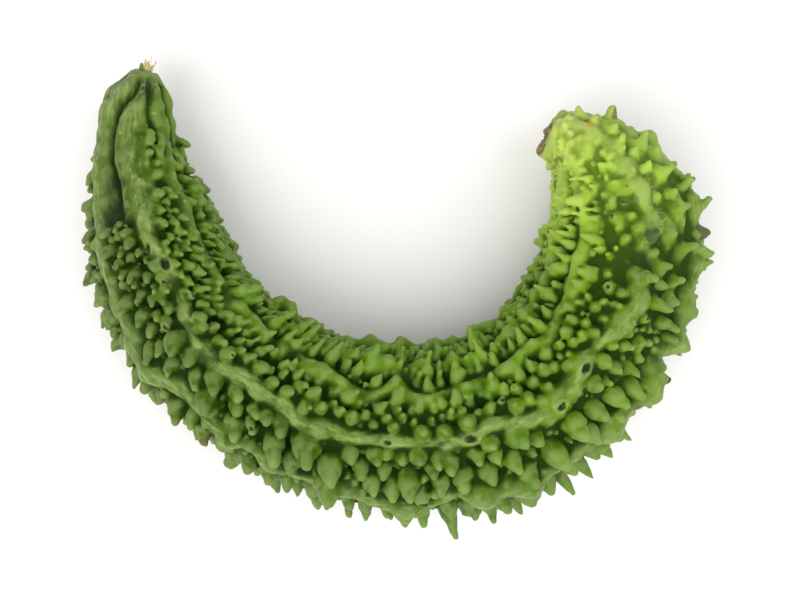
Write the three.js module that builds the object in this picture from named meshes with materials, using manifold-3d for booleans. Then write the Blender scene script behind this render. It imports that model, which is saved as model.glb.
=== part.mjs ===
// A bitter gourd, picked and lying on its side, grown round into a U.
// Millimetres, +Z up. The table is z = 0.
//
// The skin is one closed net over a bent, ribbed body. Every wart and every point of a
// ridge crest is a site on the body, given by its way along the fruit and its angle
// round it. The sites are joined by their Delaunay net, and a valley point is put in
// the middle of each triangle of that net, so that every wart becomes a small cone of
// its own with a valley all round it.

import * as THREE from 'three';
import { ConvexHull } from 'three/addons/math/ConvexHull.js';
import { mergeVertices } from 'three/addons/utils/BufferGeometryUtils.js';
import Module from 'manifold-3d';

// ---------------------------------------------------------------- driving dimensions

// The middle line of the fruit from the stem to the blossom end: x, y, height.
const middleLine = [
  [-75.0, 69.2, 19.6],
  [-77.9, 55.0, 19.8],
  [-74.8, 29.0, 20.4],
  [-66.0, 3.0, 20.4],
  [-49.4, -17.8, 23.6],
  [-25.6, -31.8, 24.6],
  [2.0, -38.2, 23.5],
  [27.6, -35.5, 24.6],
  [48.4, -21.4, 24.8],
  [62.9, 0.6, 23.8],
  [68.3, 23.0, 22.9],
  [62.8, 38.4, 24.0],
  [54.6, 46.6, 25.0],
  [45.6, 49.8, 25.4],
];

// The flesh between the ridges: way along the middle line, radius.
const fleshProfile = [
  [0.0, 0.0],
  [0.1, 2.2],
  [1.0, 4.2],
  [3.2, 6.6],
  [7.5, 9.0],
  [14.0, 10.6],
  [22.0, 11.6],
  [32.0, 13.2],
  [42.0, 15.6],
  [53.0, 17.6],
  [68.0, 18.8],
  [95.0, 19.8],
  [130.0, 20.6],
  [160.0, 21.2],
  [185.0, 21.2],
  [205.0, 20.4],
  [225.0, 20.2],
  [242.0, 20.4],
  [256.0, 19.2],
  [266.0, 17.0],
  [274.0, 14.2],
  [281.0, 11.3],
  [287.0, 8.0],
  [290.3, 5.8],
  [290.1, 3.0],
  [289.7, 0.0],
];

// Each ridge's angle from the top of the fruit, outwards round the bend, at places along
// it, and the peaks and dips of its crest: place, extra height.
const ridges = [
  {
    course: [[0, 70], [14, 68], [26, 60], [38, 52], [50, 47], [60, 46], [70, 48], [78, 52], [84, 49],
      [94, 36], [104, 37], [116, 45], [127, 50], [138, 46], [148, 54], [160, 53], [168, 46],
      [180, 54], [195, 54], [205, 60], [220, 60], [240, 62], [286, 70]],
    peaks: [[8, 1], [84, 2], [96, -1], [108, 2.5], [120, 2], [130, -1], [138, 2], [146, 0.5], [154, 5],
      [164, -1.5], [171, 4], [180, 4], [187, -1], [201, 3], [213, 5], [220, -2], [226, 3.5],
      [236, -0.5], [246, 1], [255, 1]],
  },
  {
    course: [[0, -5], [12, -4], [24, 1], [36, -1], [50, -4], [62, -11], [76, -8], [88, -2], [104, -4],
      [116, -1], [128, 4], [140, 5], [152, 1], [164, 3], [178, -1], [190, 5], [197, 7], [206, 2],
      [215, 1], [224, 10], [240, 10], [262, 10], [275, 12], [286, 18]],
    peaks: [[55, 1], [63, 2], [71, -1.5], [87, 1], [110, 0.8], [129, 2.5], [148, 1.5], [162, -1.5],
      [172, 1.5], [187, 1.5], [196, 3], [207, 2], [214, -1], [241, -2]],
  },
  {
    course: [[0, -56], [10, -60], [19, -64], [27, -59], [35, -52], [46, -48], [62, -46], [77, -43],
      [88, -41], [104, -40], [118, -36], [131, -31], [143, -27], [149, -32], [158, -27], [166, -29],
      [173, -32], [192, -31], [205, -31], [222, -32], [241, -37], [262, -41], [286, -40]],
    peaks: [[44, 1], [87, 1.5], [105, -2.8], [113, -2.8], [131, 1.5], [149, 3.5], [160, 1], [173, 3],
      [192, 1], [203, 3.5], [221, -1.5], [236, 1.5], [263, 2]],
  },
  {
    course: [[0, -100], [15, -88], [29, -74], [40, -74], [54, -67], [66, -74], [80, -74], [95, -80],
      [104, -84], [113, -74], [124, -62], [139, -54], [150, -50], [160, -50], [168, -54], [181, -50],
      [198, -54], [212, -54], [235, -60], [262, -66], [286, -74]],
    peaks: [[29, 1.5], [44, 2], [69, 1.5], [81, -2], [89, -1], [96, 2.5], [102, 3.5], [139, 2.5],
      [145, 2], [158, 2], [171, 2.5], [182, 2], [209, 2], [218, 1.5]],
  },
  {
    course: [[0, -150], [40, -122], [80, -114], [106, -106], [124, -94], [138, -86], [160, -89],
      [180, -90], [200, -90], [220, -94], [240, -100], [286, -112]],
    peaks: [[111, 2], [136, 2.5], [151, 2], [164, 2.5], [175, 2], [190, 2], [207, 2], [238, -1.5]],
  },
  {
    course: [[0, -195], [40, -168], [100, -156], [160, -146], [220, -142], [286, -155]],
    peaks: [],
  },
  {
    course: [[0, -240], [40, -213], [100, -205], [160, -198], [220, -192], [286, -199]],
    peaks: [],
  },
  {
    course: [[0, -283], [40, -267], [100, -264], [130, -262], [190, -262], [230, -256], [286, -250]],
    peaks: [[96, -2], [121, 1.5], [167, -1], [177, 2]],
  },
];
const ridgeLift = [[0, 0.3], [35, 1.3], [75, 3.2], [120, 4.0], [200, 4.2], [252, 3.6],
  [274, 1.6], [290, 0]];
const ridgeWidth = 2.5;
const ridgeRoundness = 2.4;
const ridgePeakLength = 3.0;

// The points along a crest: their distance apart, the least gap between two of them, how
// far they stray from the course in degrees, how much higher or lower they are, and how
// much they lean forwards.
const crestFrom = 2.5;
const crestTo = 284;
const crestStep = 4.4;
const crestStepSpread = [0.85, 1.15];
const leastCrestStep = 3;
const crestWander = 4;
const crestHeights = [-0.4, 1.0];
const crestLean = 0.5;

// Towards the stem the ridges flatten into broad lobes with narrow grooves between them.
const lobesEnd = 34;
const wartsFull = 74;
const grooveDepth = 2.6;
const grooveWidth = 1.3;
const grooveStart = [0.5, 6];
const grooveEnd = 38;
const grooveStep = 4.6;

// The hollow that one of the grooves opens into, where the warts are only low swellings.
const hollow = { along: 40, angle: 27, length: 9, width: 2.8, depth: 2.4, calm: 0.7 };

// The long warts that stand out all along the outside: way along, reach from the middle.
const outerSpines = [
  [38.5, 19.6], [43, 19.5], [47.5, 20.3], [56, 24.3], [65.5, 26.2], [72.5, 26.2], [80.5, 26.8],
  [87.5, 25.6], [93.5, 24.9], [102, 24.4], [110.5, 28.2], [121.5, 27.5], [127, 26.4], [133, 29.2],
  [140, 29.0], [144, 29.2], [153, 31.0], [157.5, 30.0], [163.5, 33.6], [168, 28.8], [172, 31.0],
  [177, 30.4], [181, 29.8], [187, 32.4], [191.5, 32.2], [198, 31.6], [203, 31.6], [211, 28.6],
  [217, 27.6], [224.5, 28.4], [230, 26.8], [239, 27.2], [244, 27.4],
];
const outerSpineAngles = [86, 97, 90];
const bigWartGap = 0.85;

// The biggest warts elsewhere, most of them on the blossom arm: way along, angle, height.
const bigWarts = [
  [109, 52, 4.5], [183, -12, 3.5], [191, 17, 4], [184, 30, 4.5], [202, 12, 5],
  [208, 24, 4.5], [214, 34, 5.5], [217, 58, 5.5], [221, 33, 5], [225, 66, 4],
  [223, 11, 5], [228, 46, 6], [230, -9, 4.5], [231, 25, 6.5], [233, 58, 5], [236, 12, 4],
  [238, 40, 5], [240, 24, 5], [244, 64, 4.5], [246, 46, 4.5], [248, 12, 3], [249, 30, 4.5],
  [253, -15, 4], [254, 44, 5.5], [254, 64, 5.5], [256, 80, 4], [258, 54, 4.5], [260, -17, 4],
  [262, -3, 5], [262, 36, 4], [265, -37, 4.5], [266, 8, 4], [267, 48, 5], [270, 66, 4],
  [270, 34, 5], [273, 18, 3.5], [276, 52, 3.5], [278, -14, 4.5],
];


// Warts: least distance apart and height, against the angle from the top.
const wartSpacing = [[-180, 4.9], [-130, 4.6], [-98, 3.4], [-60, 2.9], [-15, 2.9], [5, 3.3],
  [25, 4.6], [60, 4.9], [85, 4.2], [115, 4.4], [150, 4.9], [180, 4.9]];
const wartHeight = [[-180, 3.0], [-110, 3.0], [-60, 2.8], [-20, 2.1], [10, 2.3], [40, 3.4],
  [80, 4.6], [105, 5.2], [135, 3.8], [180, 3.0]];
const wartHeightSpread = 0.5;
const wartGapSpread = [0.85, 1.15];
const wartCrowding = 0.85;
const wartGrowth = [[0, 0.58], [22, 0.58], [50, 0.64], [80, 0.95], [240, 1], [266, 0.85], [291, 0.6]];
const firstWart = 20;
const lastWart = 287;
const wartTries = 36000;
const wartLean = 0.3;
const wartMostLean = 1.3;
const valleyDepth = 0.7;
const seed = 20;

// How warty the skin is: it begins to be, it is wholly so, it begins to calm down, and it
// has only this share of its warts left at the blossom end.
const wartsBegin = 16;
const wartsWhole = 52;
const calmFrom = 262;
const calmTo = 288;
const calmShare = 0.5;

// The dry scar of the flower on the blossom end: radius, points round it, height.
const scarRings = [[5.7, 12, 0.5], [3.2, 6, -0.2]];
const scarSink = 0.5;

// The torn stalk stub, rooted in the stem end.
const stubRadius = 1.5;
const stubRoot = 1.8;
const stubRootShare = 0.8;
const stubCollar = 0.2;
const stubEndShare = 0.85;
const stubTornLengths = [3.0, 1.9, 2.6, 1.4, 2.3, 3.2, 1.7, 2.8, 1.5];
const stubHeart = 1.3;
const stubClearance = 0.3;

// Fineness of the worked-out curves and of the joining of points.
const bendSteps = 2000;
const profileSamples = 1600;
const poleRadius = 0.15;
const weld = 1e-4;
const tableBoxSize = 400;

// ---------------------------------------------------------------- small helpers

const { PI, abs, cos, sin, hypot, exp, max, min } = Math;
const degrees = PI / 180;

// A repeatable stream of numbers from 0 to 1.
function seededRandom(seed) {
  let state = seed >>> 0;
  return () => {
    state = (state + 0x6d2b79f5) >>> 0;
    let mix = Math.imul(state ^ (state >>> 15), state | 1);
    mix = (mix + Math.imul(mix ^ (mix >>> 7), mix | 61)) ^ mix;
    return ((mix ^ (mix >>> 14)) >>> 0) / 4294967296;
  };
}

// A smooth run through [place, value] pairs.
function follow(pairs, place) {
  const last = pairs.length - 1;
  if (place <= pairs[0][0]) return pairs[0][1];
  if (place >= pairs[last][0]) return pairs[last][1];
  let k = 0;
  while (place > pairs[k + 1][0]) k += 1;
  const slope = (i) => {
    const a = pairs[max(i - 1, 0)];
    const b = pairs[min(i + 1, last)];
    return (b[1] - a[1]) / (b[0] - a[0]);
  };
  const width = pairs[k + 1][0] - pairs[k][0];
  const t = (place - pairs[k][0]) / width;
  const rise = t * t * (3 - 2 * t);
  return pairs[k][1] * (1 - rise) + pairs[k + 1][1] * rise
    + width * (slope(k) * t * (1 - t) * (1 - t) - slope(k + 1) * t * t * (1 - t));
}

const { smoothstep, lerp } = THREE.MathUtils;
const wrapDegrees = (a) => THREE.MathUtils.euclideanModulo(a + 180, 360) - 180;

// ---------------------------------------------------------------- the bent middle line

const bend = new THREE.CatmullRomCurve3(middleLine.map((p) => new THREE.Vector3(...p)));
bend.arcLengthDivisions = bendSteps;
const bendLength = bend.getLength();

function middleAt(along) {
  const part = THREE.MathUtils.clamp(along / bendLength, 0, 1);
  const tangent = bend.getTangentAt(part);
  const outwards = new THREE.Vector3(tangent.y, -tangent.x, 0).normalize();
  const upwards = new THREE.Vector3().crossVectors(outwards, tangent).normalize();
  const point = bend.getPointAt(part).addScaledVector(tangent, along - part * bendLength);
  return { point, tangent, outwards, upwards };
}

// ---------------------------------------------------------------- the flesh profile

// Samples of the profile, with the length walked over the skin (skin) and the height on
// a Mercator map of it (chart), on which small shapes keep their form.
function sampleProfile() {
  const knots = fleshProfile.map(([along, radius]) => new THREE.Vector3(along, radius, 0));
  const points = new THREE.CatmullRomCurve3(knots, false, 'centripetal').getPoints(profileSamples);
  const samples = [{ along: points[0].x, radius: 0, skin: 0, chart: 0 }];
  for (let i = 1; i < points.length; i += 1) {
    const step = points[i].distanceTo(points[i - 1]);
    const before = samples[i - 1];
    const radius = max(points[i].y, 0);
    samples.push({
      along: points[i].x,
      radius,
      skin: before.skin + step,
      chart: before.chart + step / max((radius + before.radius) / 2, poleRadius),
    });
  }
  const middleChart = samples[samples.length - 1].chart / 2;
  for (const sample of samples) sample.chart -= middleChart;
  return samples;
}

const profile = sampleProfile();
const skinLength = profile[profileSamples].skin;

// The profile where one of its rising values (skin, chart) reaches a given number.
function profileWhere(key, value) {
  let low = 0;
  let high = profileSamples;
  while (high - low > 1) {
    const mid = (low + high) >> 1;
    if (profile[mid][key] > value) high = mid;
    else low = mid;
  }
  const a = profile[low];
  const b = profile[high];
  const t = THREE.MathUtils.clamp((value - a[key]) / (b[key] - a[key]), 0, 1);
  const mix = (name) => a[name] + (b[name] - a[name]) * t;
  const step = hypot(b.along - a.along, b.radius - a.radius);
  return {
    along: mix('along'),
    radius: mix('radius'),
    skin: mix('skin'),
    chart: mix('chart'),
    slope: [(b.along - a.along) / step, (b.radius - a.radius) / step],
  };
}

// The length over the skin to a place along the middle line, short of the scar.
function skinAt(along) {
  let k = 1;
  while (k < profileSamples && profile[k].along < along) k += 1;
  return profile[k].skin;
}

// ---------------------------------------------------------------- ridges and grooves

// How deep in the hollow a place is: 1 in its middle, 0 outside it.
function inHollow(along, radius, angle) {
  const round = wrapDegrees(angle - hollow.angle) * degrees * radius;
  return exp(-(((along - hollow.along) / hollow.length) ** 2) - (round / hollow.width) ** 2);
}

// Height of the skin over the flesh profile, with no warts on it.
function relief(along, radius, angle) {
  const near = ridges
    .map((ridge) => ({ ridge, away: abs(wrapDegrees(angle - follow(ridge.course, along))) * degrees }))
    .sort((a, b) => a.away - b.away);
  const [first, second] = near;
  const away = first.away * radius;
  const halfGap = ((first.away + second.away) / 2) * radius;
  const lobes = 1 - smoothstep(along, lobesEnd, wartsFull);
  const lift = follow(ridgeLift, along);
  const groove = grooveDepth * smoothstep(along, ...grooveStart)
    * exp(-(((halfGap - away) / grooveWidth) ** 2));
  const crest = exp(-((away / ridgeWidth) ** ridgeRoundness));
  let height = lobes * (lift - groove) + (1 - lobes) * lift * crest;
  for (const [place, extra] of first.ridge.peaks) {
    const off = (along - place) / ridgePeakLength;
    height += extra * exp(-(off ** 2)) * crest;
  }
  return height - hollow.depth * inHollow(along, radius, angle);
}

// How warty the skin is here: none on the lobes by the stem, little on the blossom end.
function wartiness(along) {
  const calm = (1 - calmShare) * smoothstep(along, calmFrom, calmTo);
  return smoothstep(along, wartsBegin, wartsWhole) * (1 - calm);
}

// ---------------------------------------------------------------- sites

function makeSite(skin, angle, height, lean = 0) {
  return { ...profileWhere('skin', skin), angle, height, lean };
}

// Places along a ridge for its crest points: every peak and dip, and even steps between.
function crestPlaces(ridge, random) {
  const places = ridge.peaks.map(([place]) => skinAt(place));
  const nextStep = () => crestStep * lerp(...crestStepSpread, random());
  for (let skin = skinAt(crestFrom); skin < skinAt(crestTo); skin += nextStep()) {
    if (places.every((place) => abs(place - skin) > leastCrestStep)) places.push(skin);
  }
  return places;
}

function crestSites(random) {
  const sites = [];
  for (const ridge of ridges) {
    for (const skin of crestPlaces(ridge, random)) {
      const at = profileWhere('skin', skin);
      const rough = wartiness(at.along);
      const angle = follow(ridge.course, at.along) + (random() - 0.5) * crestWander * rough;
      const height = lerp(...crestHeights, random()) * rough;
      sites.push({ ...makeSite(skin, angle, height, crestLean * rough), line: ridge });
    }
  }
  return sites;
}

// Points along the bottom of each groove between two lobes.
function grooveSites() {
  const sites = [];
  ridges.forEach((ridge, k) => {
    const next = ridges[(k + 1) % ridges.length];
    for (let skin = skinAt(crestFrom); skin < skinAt(grooveEnd); skin += grooveStep) {
      const { along } = profileWhere('skin', skin);
      const from = follow(ridge.course, along);
      const gap = wrapDegrees(follow(next.course, along) - from);
      sites.push({ ...makeSite(skin, from + gap / 2, 0), line: next.course });
    }
  });
  return sites;
}

function spineSites() {
  return outerSpines.map(([along, reach], k) => {
    const angle = outerSpineAngles[k % outerSpineAngles.length];
    const skin = skinAt(along);
    const { radius } = profileWhere('skin', skin);
    const height = reach / sin(angle * degrees) - radius - relief(along, radius, angle);
    return makeSite(skin, angle, height, 1);
  });
}

// Big warts keep a gap of their own height to the next wart.
function bigWartSites() {
  return bigWarts.map(([along, angle, height]) => {
    return { ...makeSite(skinAt(along), angle, height, 1), spacing: height * bigWartGap };
  });
}

// The flower scar: rings of points on the blunt end, and the two poles of the net.
function endSites() {
  const sites = [
    { ...makeSite(0, 0, 0), pole: -1 },
    { ...makeSite(skinLength, 0, -scarSink), pole: 1 },
  ];
  scarRings.forEach(([radius, count, height], ring) => {
    let k = profileSamples;
    while (profile[k].radius < radius) k -= 1;
    for (let i = 0; i < count; i += 1) {
      const angle = wrapDegrees((i + ring / 2) * (360 / count));
      sites.push(makeSite(profile[k].skin, angle, height));
    }
  });
  return sites;
}

const gapBetween = (a, b) => {
  const round = wrapDegrees(a.angle - b.angle) * degrees * ((a.radius + b.radius) / 2);
  return hypot(a.skin - b.skin, round);
};

// Warts thrown at random wherever there is still room for one.
function addWarts(sites, random) {
  const binWidth = 6;
  const bins = Array.from({ length: Math.ceil(skinLength / binWidth) + 2 }, () => []);
  const binOf = (site) => Math.floor(site.skin / binWidth) + 1;
  for (const site of sites) bins[binOf(site)].push(site);
  const from = skinAt(firstWart);
  const to = skinAt(lastWart);
  for (let t = 0; t < wartTries; t += 1) {
    const skin = from + (to - from) * random();
    const angle = 360 * random() - 180;
    const size = random();
    const at = profileWhere('skin', skin);
    const growth = follow(wartGrowth, at.along);
    const spacing = follow(wartSpacing, angle) * growth * lerp(...wartGapSpread, size);
    const tall = 1 - wartHeightSpread / 2 + wartHeightSpread * size;
    const sunk = 1 - hollow.calm * inHollow(at.along, at.radius, angle);
    const height = follow(wartHeight, angle) * growth * tall * wartiness(at.along) * sunk;
    const wart = { ...at, angle, height, lean: 1, spacing };
    const bin = binOf(wart);
    const near = [...bins[bin - 1], ...bins[bin], ...bins[bin + 1]];
    if (near.every((site) => gapBetween(site, wart) > max(spacing, (site.spacing ?? 0) * wartCrowding))) {
      bins[bin].push(wart);
      sites.push(wart);
    }
  }
}

// ---------------------------------------------------------------- from chart to space

function toSphere(site) {
  if (site.pole) return new THREE.Vector3(0, 0, site.pole);
  const ring = 1 / Math.cosh(site.chart);
  const angle = site.angle * degrees;
  return new THREE.Vector3(cos(angle) * ring, sin(angle) * ring, Math.tanh(site.chart));
}

function fromSphere(v) {
  const at = profileWhere('chart', Math.asinh(v.z / hypot(v.x, v.y)));
  return { ...at, angle: Math.atan2(v.y, v.x) / degrees };
}

// A point of the skin in space, raised by height and leaning towards the blossom end.
function toSpace({ along, radius, slope, angle, height, lean }) {
  const { point, tangent, outwards, upwards } = middleAt(along);
  const round = angle * degrees;
  const spoke = upwards.multiplyScalar(cos(round)).addScaledVector(outwards, sin(round));
  const normal = spoke.clone().multiplyScalar(slope[0]).addScaledVector(tangent, -slope[1]);
  const forwards = tangent.clone().multiplyScalar(slope[0]).addScaledVector(spoke, slope[1]);
  const total = relief(along, radius, angle) + height;
  const shift = min(max(height, 0) * wartLean, wartMostLean) * lean;
  return point.addScaledVector(spoke, radius)
    .addScaledVector(normal, total)
    .addScaledVector(forwards, shift);
}

const facesOut = (a, b, c) => b.clone().sub(a).cross(c.clone().sub(a)).dot(a) > 0;

// The skin: a fan of triangles round every site, with its corners in the valleys. The
// sites of one crest or groove stay joined in a line.
function skinNet(sites) {
  const onSphere = sites.map(toSphere);
  const indexOf = new Map(onSphere.map((v, i) => [v, i]));
  const hull = new ConvexHull().setFromPoints(onSphere);
  const points = sites.map(toSpace);
  const spots = [...onSphere];
  const opposite = new Map();
  for (const face of hull.faces) {
    const corners = [];
    let edge = face.edge;
    do {
      corners.push(indexOf.get(edge.head().point));
      edge = edge.next;
    } while (edge !== face.edge);
    const centre = new THREE.Vector3();
    for (const c of corners) centre.add(onSphere[c]);
    spots.push(centre.normalize());
    const valley = fromSphere(centre);
    const lowest = min(0, ...corners.map((c) => sites[c].height));
    points.push(toSpace({ ...valley, height: lowest - valleyDepth * wartiness(valley.along), lean: 0 }));
    corners.forEach((c, i) => opposite.set(`${c} ${corners[(i + 1) % corners.length]}`, points.length - 1));
  }
  const triangles = [];
  for (const [key, left] of opposite) {
    const [a, b] = key.split(' ').map(Number);
    const right = opposite.get(`${b} ${a}`);
    const sameLine = sites[a].line && sites[a].line === sites[b].line;
    const fansFaceOut = facesOut(spots[a], spots[right], spots[left])
      && facesOut(spots[b], spots[left], spots[right]);
    triangles.push(a, sameLine || !fansFaceOut ? b : right, left);
  }
  return { points, triangles };
}

// ---------------------------------------------------------------- solids

const wasm = await Module();
wasm.setup();

function toSolid(geometry) {
  const bare = geometry.clone();
  bare.deleteAttribute('normal');
  bare.deleteAttribute('uv');
  const merged = mergeVertices(bare, weld);
  return new wasm.Manifold(new wasm.Mesh({
    numProp: 3,
    vertProperties: Float32Array.from(merged.attributes.position.array),
    triVerts: Uint32Array.from(merged.index.array),
  }));
}

function toGeometry(solid) {
  const { vertProperties, triVerts } = solid.getMesh();
  const geometry = new THREE.BufferGeometry();
  geometry.setAttribute('position', new THREE.BufferAttribute(vertProperties, 3));
  geometry.setIndex(new THREE.BufferAttribute(triVerts, 1));
  geometry.computeVertexNormals();
  return geometry;
}

function netGeometry({ points, triangles }) {
  const geometry = new THREE.BufferGeometry().setFromPoints(points);
  geometry.setIndex(triangles);
  return geometry;
}

// A torn peg along the stem's axis, from its root in the fruit out to the uneven end.
function stubGeometry(grow = 0) {
  const stubSides = stubTornLengths.length;
  const { point, tangent, outwards, upwards } = middleAt(0);
  const ringAt = (outAt, radius) => stubTornLengths.map((torn, k) => {
    const round = (k / stubSides) * 2 * PI;
    return point.clone()
      .addScaledVector(tangent, -outAt(torn))
      .addScaledVector(outwards, -sin(round) * radius)
      .addScaledVector(upwards, cos(round) * radius);
  });
  const rings = [
    ringAt(() => -stubRoot - grow, stubRadius * stubRootShare + grow),
    ringAt(() => stubCollar, stubRadius + grow),
    ringAt((torn) => torn + grow, stubRadius * stubEndShare + grow),
  ];
  const points = rings.flat();
  const rootCentre = points.push(point.clone().addScaledVector(tangent, stubRoot + grow)) - 1;
  const tipCentre = points.push(point.clone().addScaledVector(tangent, -stubHeart - grow)) - 1;
  const triangles = [];
  for (let k = 0; k < stubSides; k += 1) {
    const next = (k + 1) % stubSides;
    for (let ring = 0; ring < 2; ring += 1) {
      const low = ring * stubSides;
      const high = low + stubSides;
      triangles.push(low + k, low + next, high + next, low + k, high + next, high + k);
    }
    const top = 2 * stubSides;
    triangles.push(rootCentre, next, k, tipCentre, top + k, top + next);
  }
  return netGeometry({ points, triangles });
}

function fruitGeometry() {
  const random = seededRandom(seed);
  const sites = [...endSites(), ...crestSites(random), ...grooveSites()];
  sites.push(...spineSites(), ...bigWartSites());
  addWarts(sites, random);
  const body = toSolid(netGeometry(skinNet(sites)));
  const table = new THREE.BoxGeometry(tableBoxSize, tableBoxSize, tableBoxSize);
  table.translate(0, 0, -tableBoxSize / 2);
  return toGeometry(body.subtract(toSolid(table)).subtract(toSolid(stubGeometry(stubClearance))));
}

// ---------------------------------------------------------------- the model

const rind = new THREE.MeshStandardMaterial({ color: 0x8fb03a, roughness: 0.42, metalness: 0 });
const dryStalk = new THREE.MeshStandardMaterial({ color: 0xc2ab62, roughness: 0.85, metalness: 0 });

const fruit = new THREE.Mesh(fruitGeometry(), rind);
fruit.name = 'fruit';

const stalkStub = new THREE.Mesh(stubGeometry(), dryStalk);
stalkStub.name = 'stalk_stub';

const gourd = new THREE.Group();
gourd.add(fruit, stalkStub);

export default gourd;
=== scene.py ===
import itertools
import math

import bmesh
import bpy
import numpy as np
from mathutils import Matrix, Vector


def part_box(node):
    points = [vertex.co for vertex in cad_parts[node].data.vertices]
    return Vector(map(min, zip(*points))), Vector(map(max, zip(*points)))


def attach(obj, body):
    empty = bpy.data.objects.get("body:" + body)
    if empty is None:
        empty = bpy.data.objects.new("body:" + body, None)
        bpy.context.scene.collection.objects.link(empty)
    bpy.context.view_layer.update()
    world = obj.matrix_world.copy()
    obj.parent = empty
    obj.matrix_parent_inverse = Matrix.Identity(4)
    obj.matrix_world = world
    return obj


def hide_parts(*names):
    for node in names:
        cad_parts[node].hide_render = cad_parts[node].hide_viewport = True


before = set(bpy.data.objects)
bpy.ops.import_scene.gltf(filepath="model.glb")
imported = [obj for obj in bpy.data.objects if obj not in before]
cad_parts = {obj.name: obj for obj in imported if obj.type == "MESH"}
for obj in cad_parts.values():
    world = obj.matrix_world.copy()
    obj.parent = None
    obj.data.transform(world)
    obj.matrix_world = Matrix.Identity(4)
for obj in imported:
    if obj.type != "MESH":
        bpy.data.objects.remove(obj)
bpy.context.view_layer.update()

import openvdb
from mathutils import Vector, kdtree

fruitLow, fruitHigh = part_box("fruit")
mm = 0.001  # everything below is worked out in millimetres and turned into metres at the end


# ---- the fruit's form: middle line, flesh, ridges and warts, placed as in the solid it replaces

fruitForm = {
    "middleLine": [
        (-75.0, 69.2, 19.6), (-77.9, 55.0, 19.8), (-74.8, 29.0, 20.4), (-66.0, 3.0, 20.4),
        (-49.4, -17.8, 23.6), (-25.6, -31.8, 24.6), (2.0, -38.2, 23.5), (27.6, -35.5, 24.6),
        (48.4, -21.4, 24.8), (62.9, 0.6, 23.8), (68.3, 23.0, 22.9), (62.8, 38.4, 24.0),
        (54.6, 46.6, 25.0), (45.6, 49.8, 25.4)],
    "profile": [  # way along, radius of the flesh between the ridges
        (0.0, 0.0), (0.1, 2.2), (1.0, 3.8), (3.2, 6.1), (7.5, 8.8), (14.0, 10.6), (22.0, 11.6),
        (32.0, 13.2), (42.0, 15.6), (53.0, 17.6), (68.0, 18.8), (95.0, 19.8), (130.0, 20.6),
        (160.0, 21.2), (185.0, 21.2), (205.0, 20.4), (225.0, 20.2), (242.0, 20.4), (256.0, 19.2),
        (266.0, 17.0), (274.0, 14.2), (281.0, 11.3), (287.0, 8.0), (290.3, 5.8), (290.1, 3.0),
        (289.7, 0.0)],
    "profileSamples": 1600,
    "profileTurns": 1300,  # the sample from which the profile may run back
    "ridgeLift": [(0, 0.3), (35, 1.3), (75, 3.2), (120, 4.0), (200, 4.2), (252, 3.6), (274, 1.6),
                  (290, 0)],
    "ridgeWidth": 2.5,
    "ridgeRoundness": 2.6,
    # how much broader and lower or higher a ridge is here than in the solid, in waves
    "broader": 1.22,
    "broaderWaves": [(5.3, 0.17), (2.3, 0.12)],
    "lumps": [(4.1, 0.35), (1.7, 0.28)],
    # how broad the upper ridges are along the fruit, and how far off them the warts begin
    "bands": {
        0: [(40, 1.1), (54, 1.9), (94, 2.1), (104, 1.2), (150, 1.25), (210, 1.5), (240, 1.2)],
        1: [(40, 1.2), (80, 1.2), (96, 1.35), (125, 1.35), (150, 1.1), (200, 1.4), (240, 1.1)],
        2: [(40, 1.1), (60, 1.25), (120, 1.2), (160, 1.0), (250, 1.1)]},
    "keepOff": {
        0: [(40, 1.5), (54, 5.0), (95, 5.2), (106, 1.6), (205, 1.6), (215, 2.6), (240, 1.5)],
        1: [(40, 1), (80, 1.8), (96, 2.4), (125, 2.4), (150, 1.6), (200, 2.2), (240, 1.5)],
        2: [(40, 1), (60, 2.0), (120, 2.0), (160, 1.6), (250, 1.5)]},
    # the two upper outer ridges break up into warts towards the blossom
    "fading": {0: (236, 250, 0.75), 1: (226, 242, 0.8), 2: (252, 266, 0.5)},
    "peakLength": 3.0,
    "lobesEnd": 34,
    "wartsFull": 74,
    "grooveDepth": 2.6,
    "grooveWidth": 1.3,
    "grooveStart": (0.5, 6),
    "hollow": {"along": 39, "angle": 28, "length": 9.5, "width": 3.2, "depth": 3.2, "calm": 0.7},
    # where the fruit is a little leaner than the solid, or fuller where it is below 0: angle
    # from the top, breadth, and how much along it
    "leaner": [
        (-88, 24, [(26, 0), (36, 1.0), (58, 1.2), (85, 1.3), (110, 1.5), (140, 1.3), (158, 0.5),
                   (172, 0), (200, 0.8), (226, 1.0), (240, 0)]),
        (82, 28, [(36, 0), (48, 0.9), (66, 0.7), (82, 1.0), (92, 2.2), (112, 2.2), (126, 0.8),
                  (150, 0.3), (175, 0.4), (190, 0), (205, 0), (214, 1.0), (226, 0.6), (240, 0.3),
                  (252, 0.6), (266, 1.4), (276, 3.0), (290, 3.4)]),
        (-28, 12, [(20, 0), (30, -1.5), (58, -1.4), (72, 0)])],
}

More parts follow.
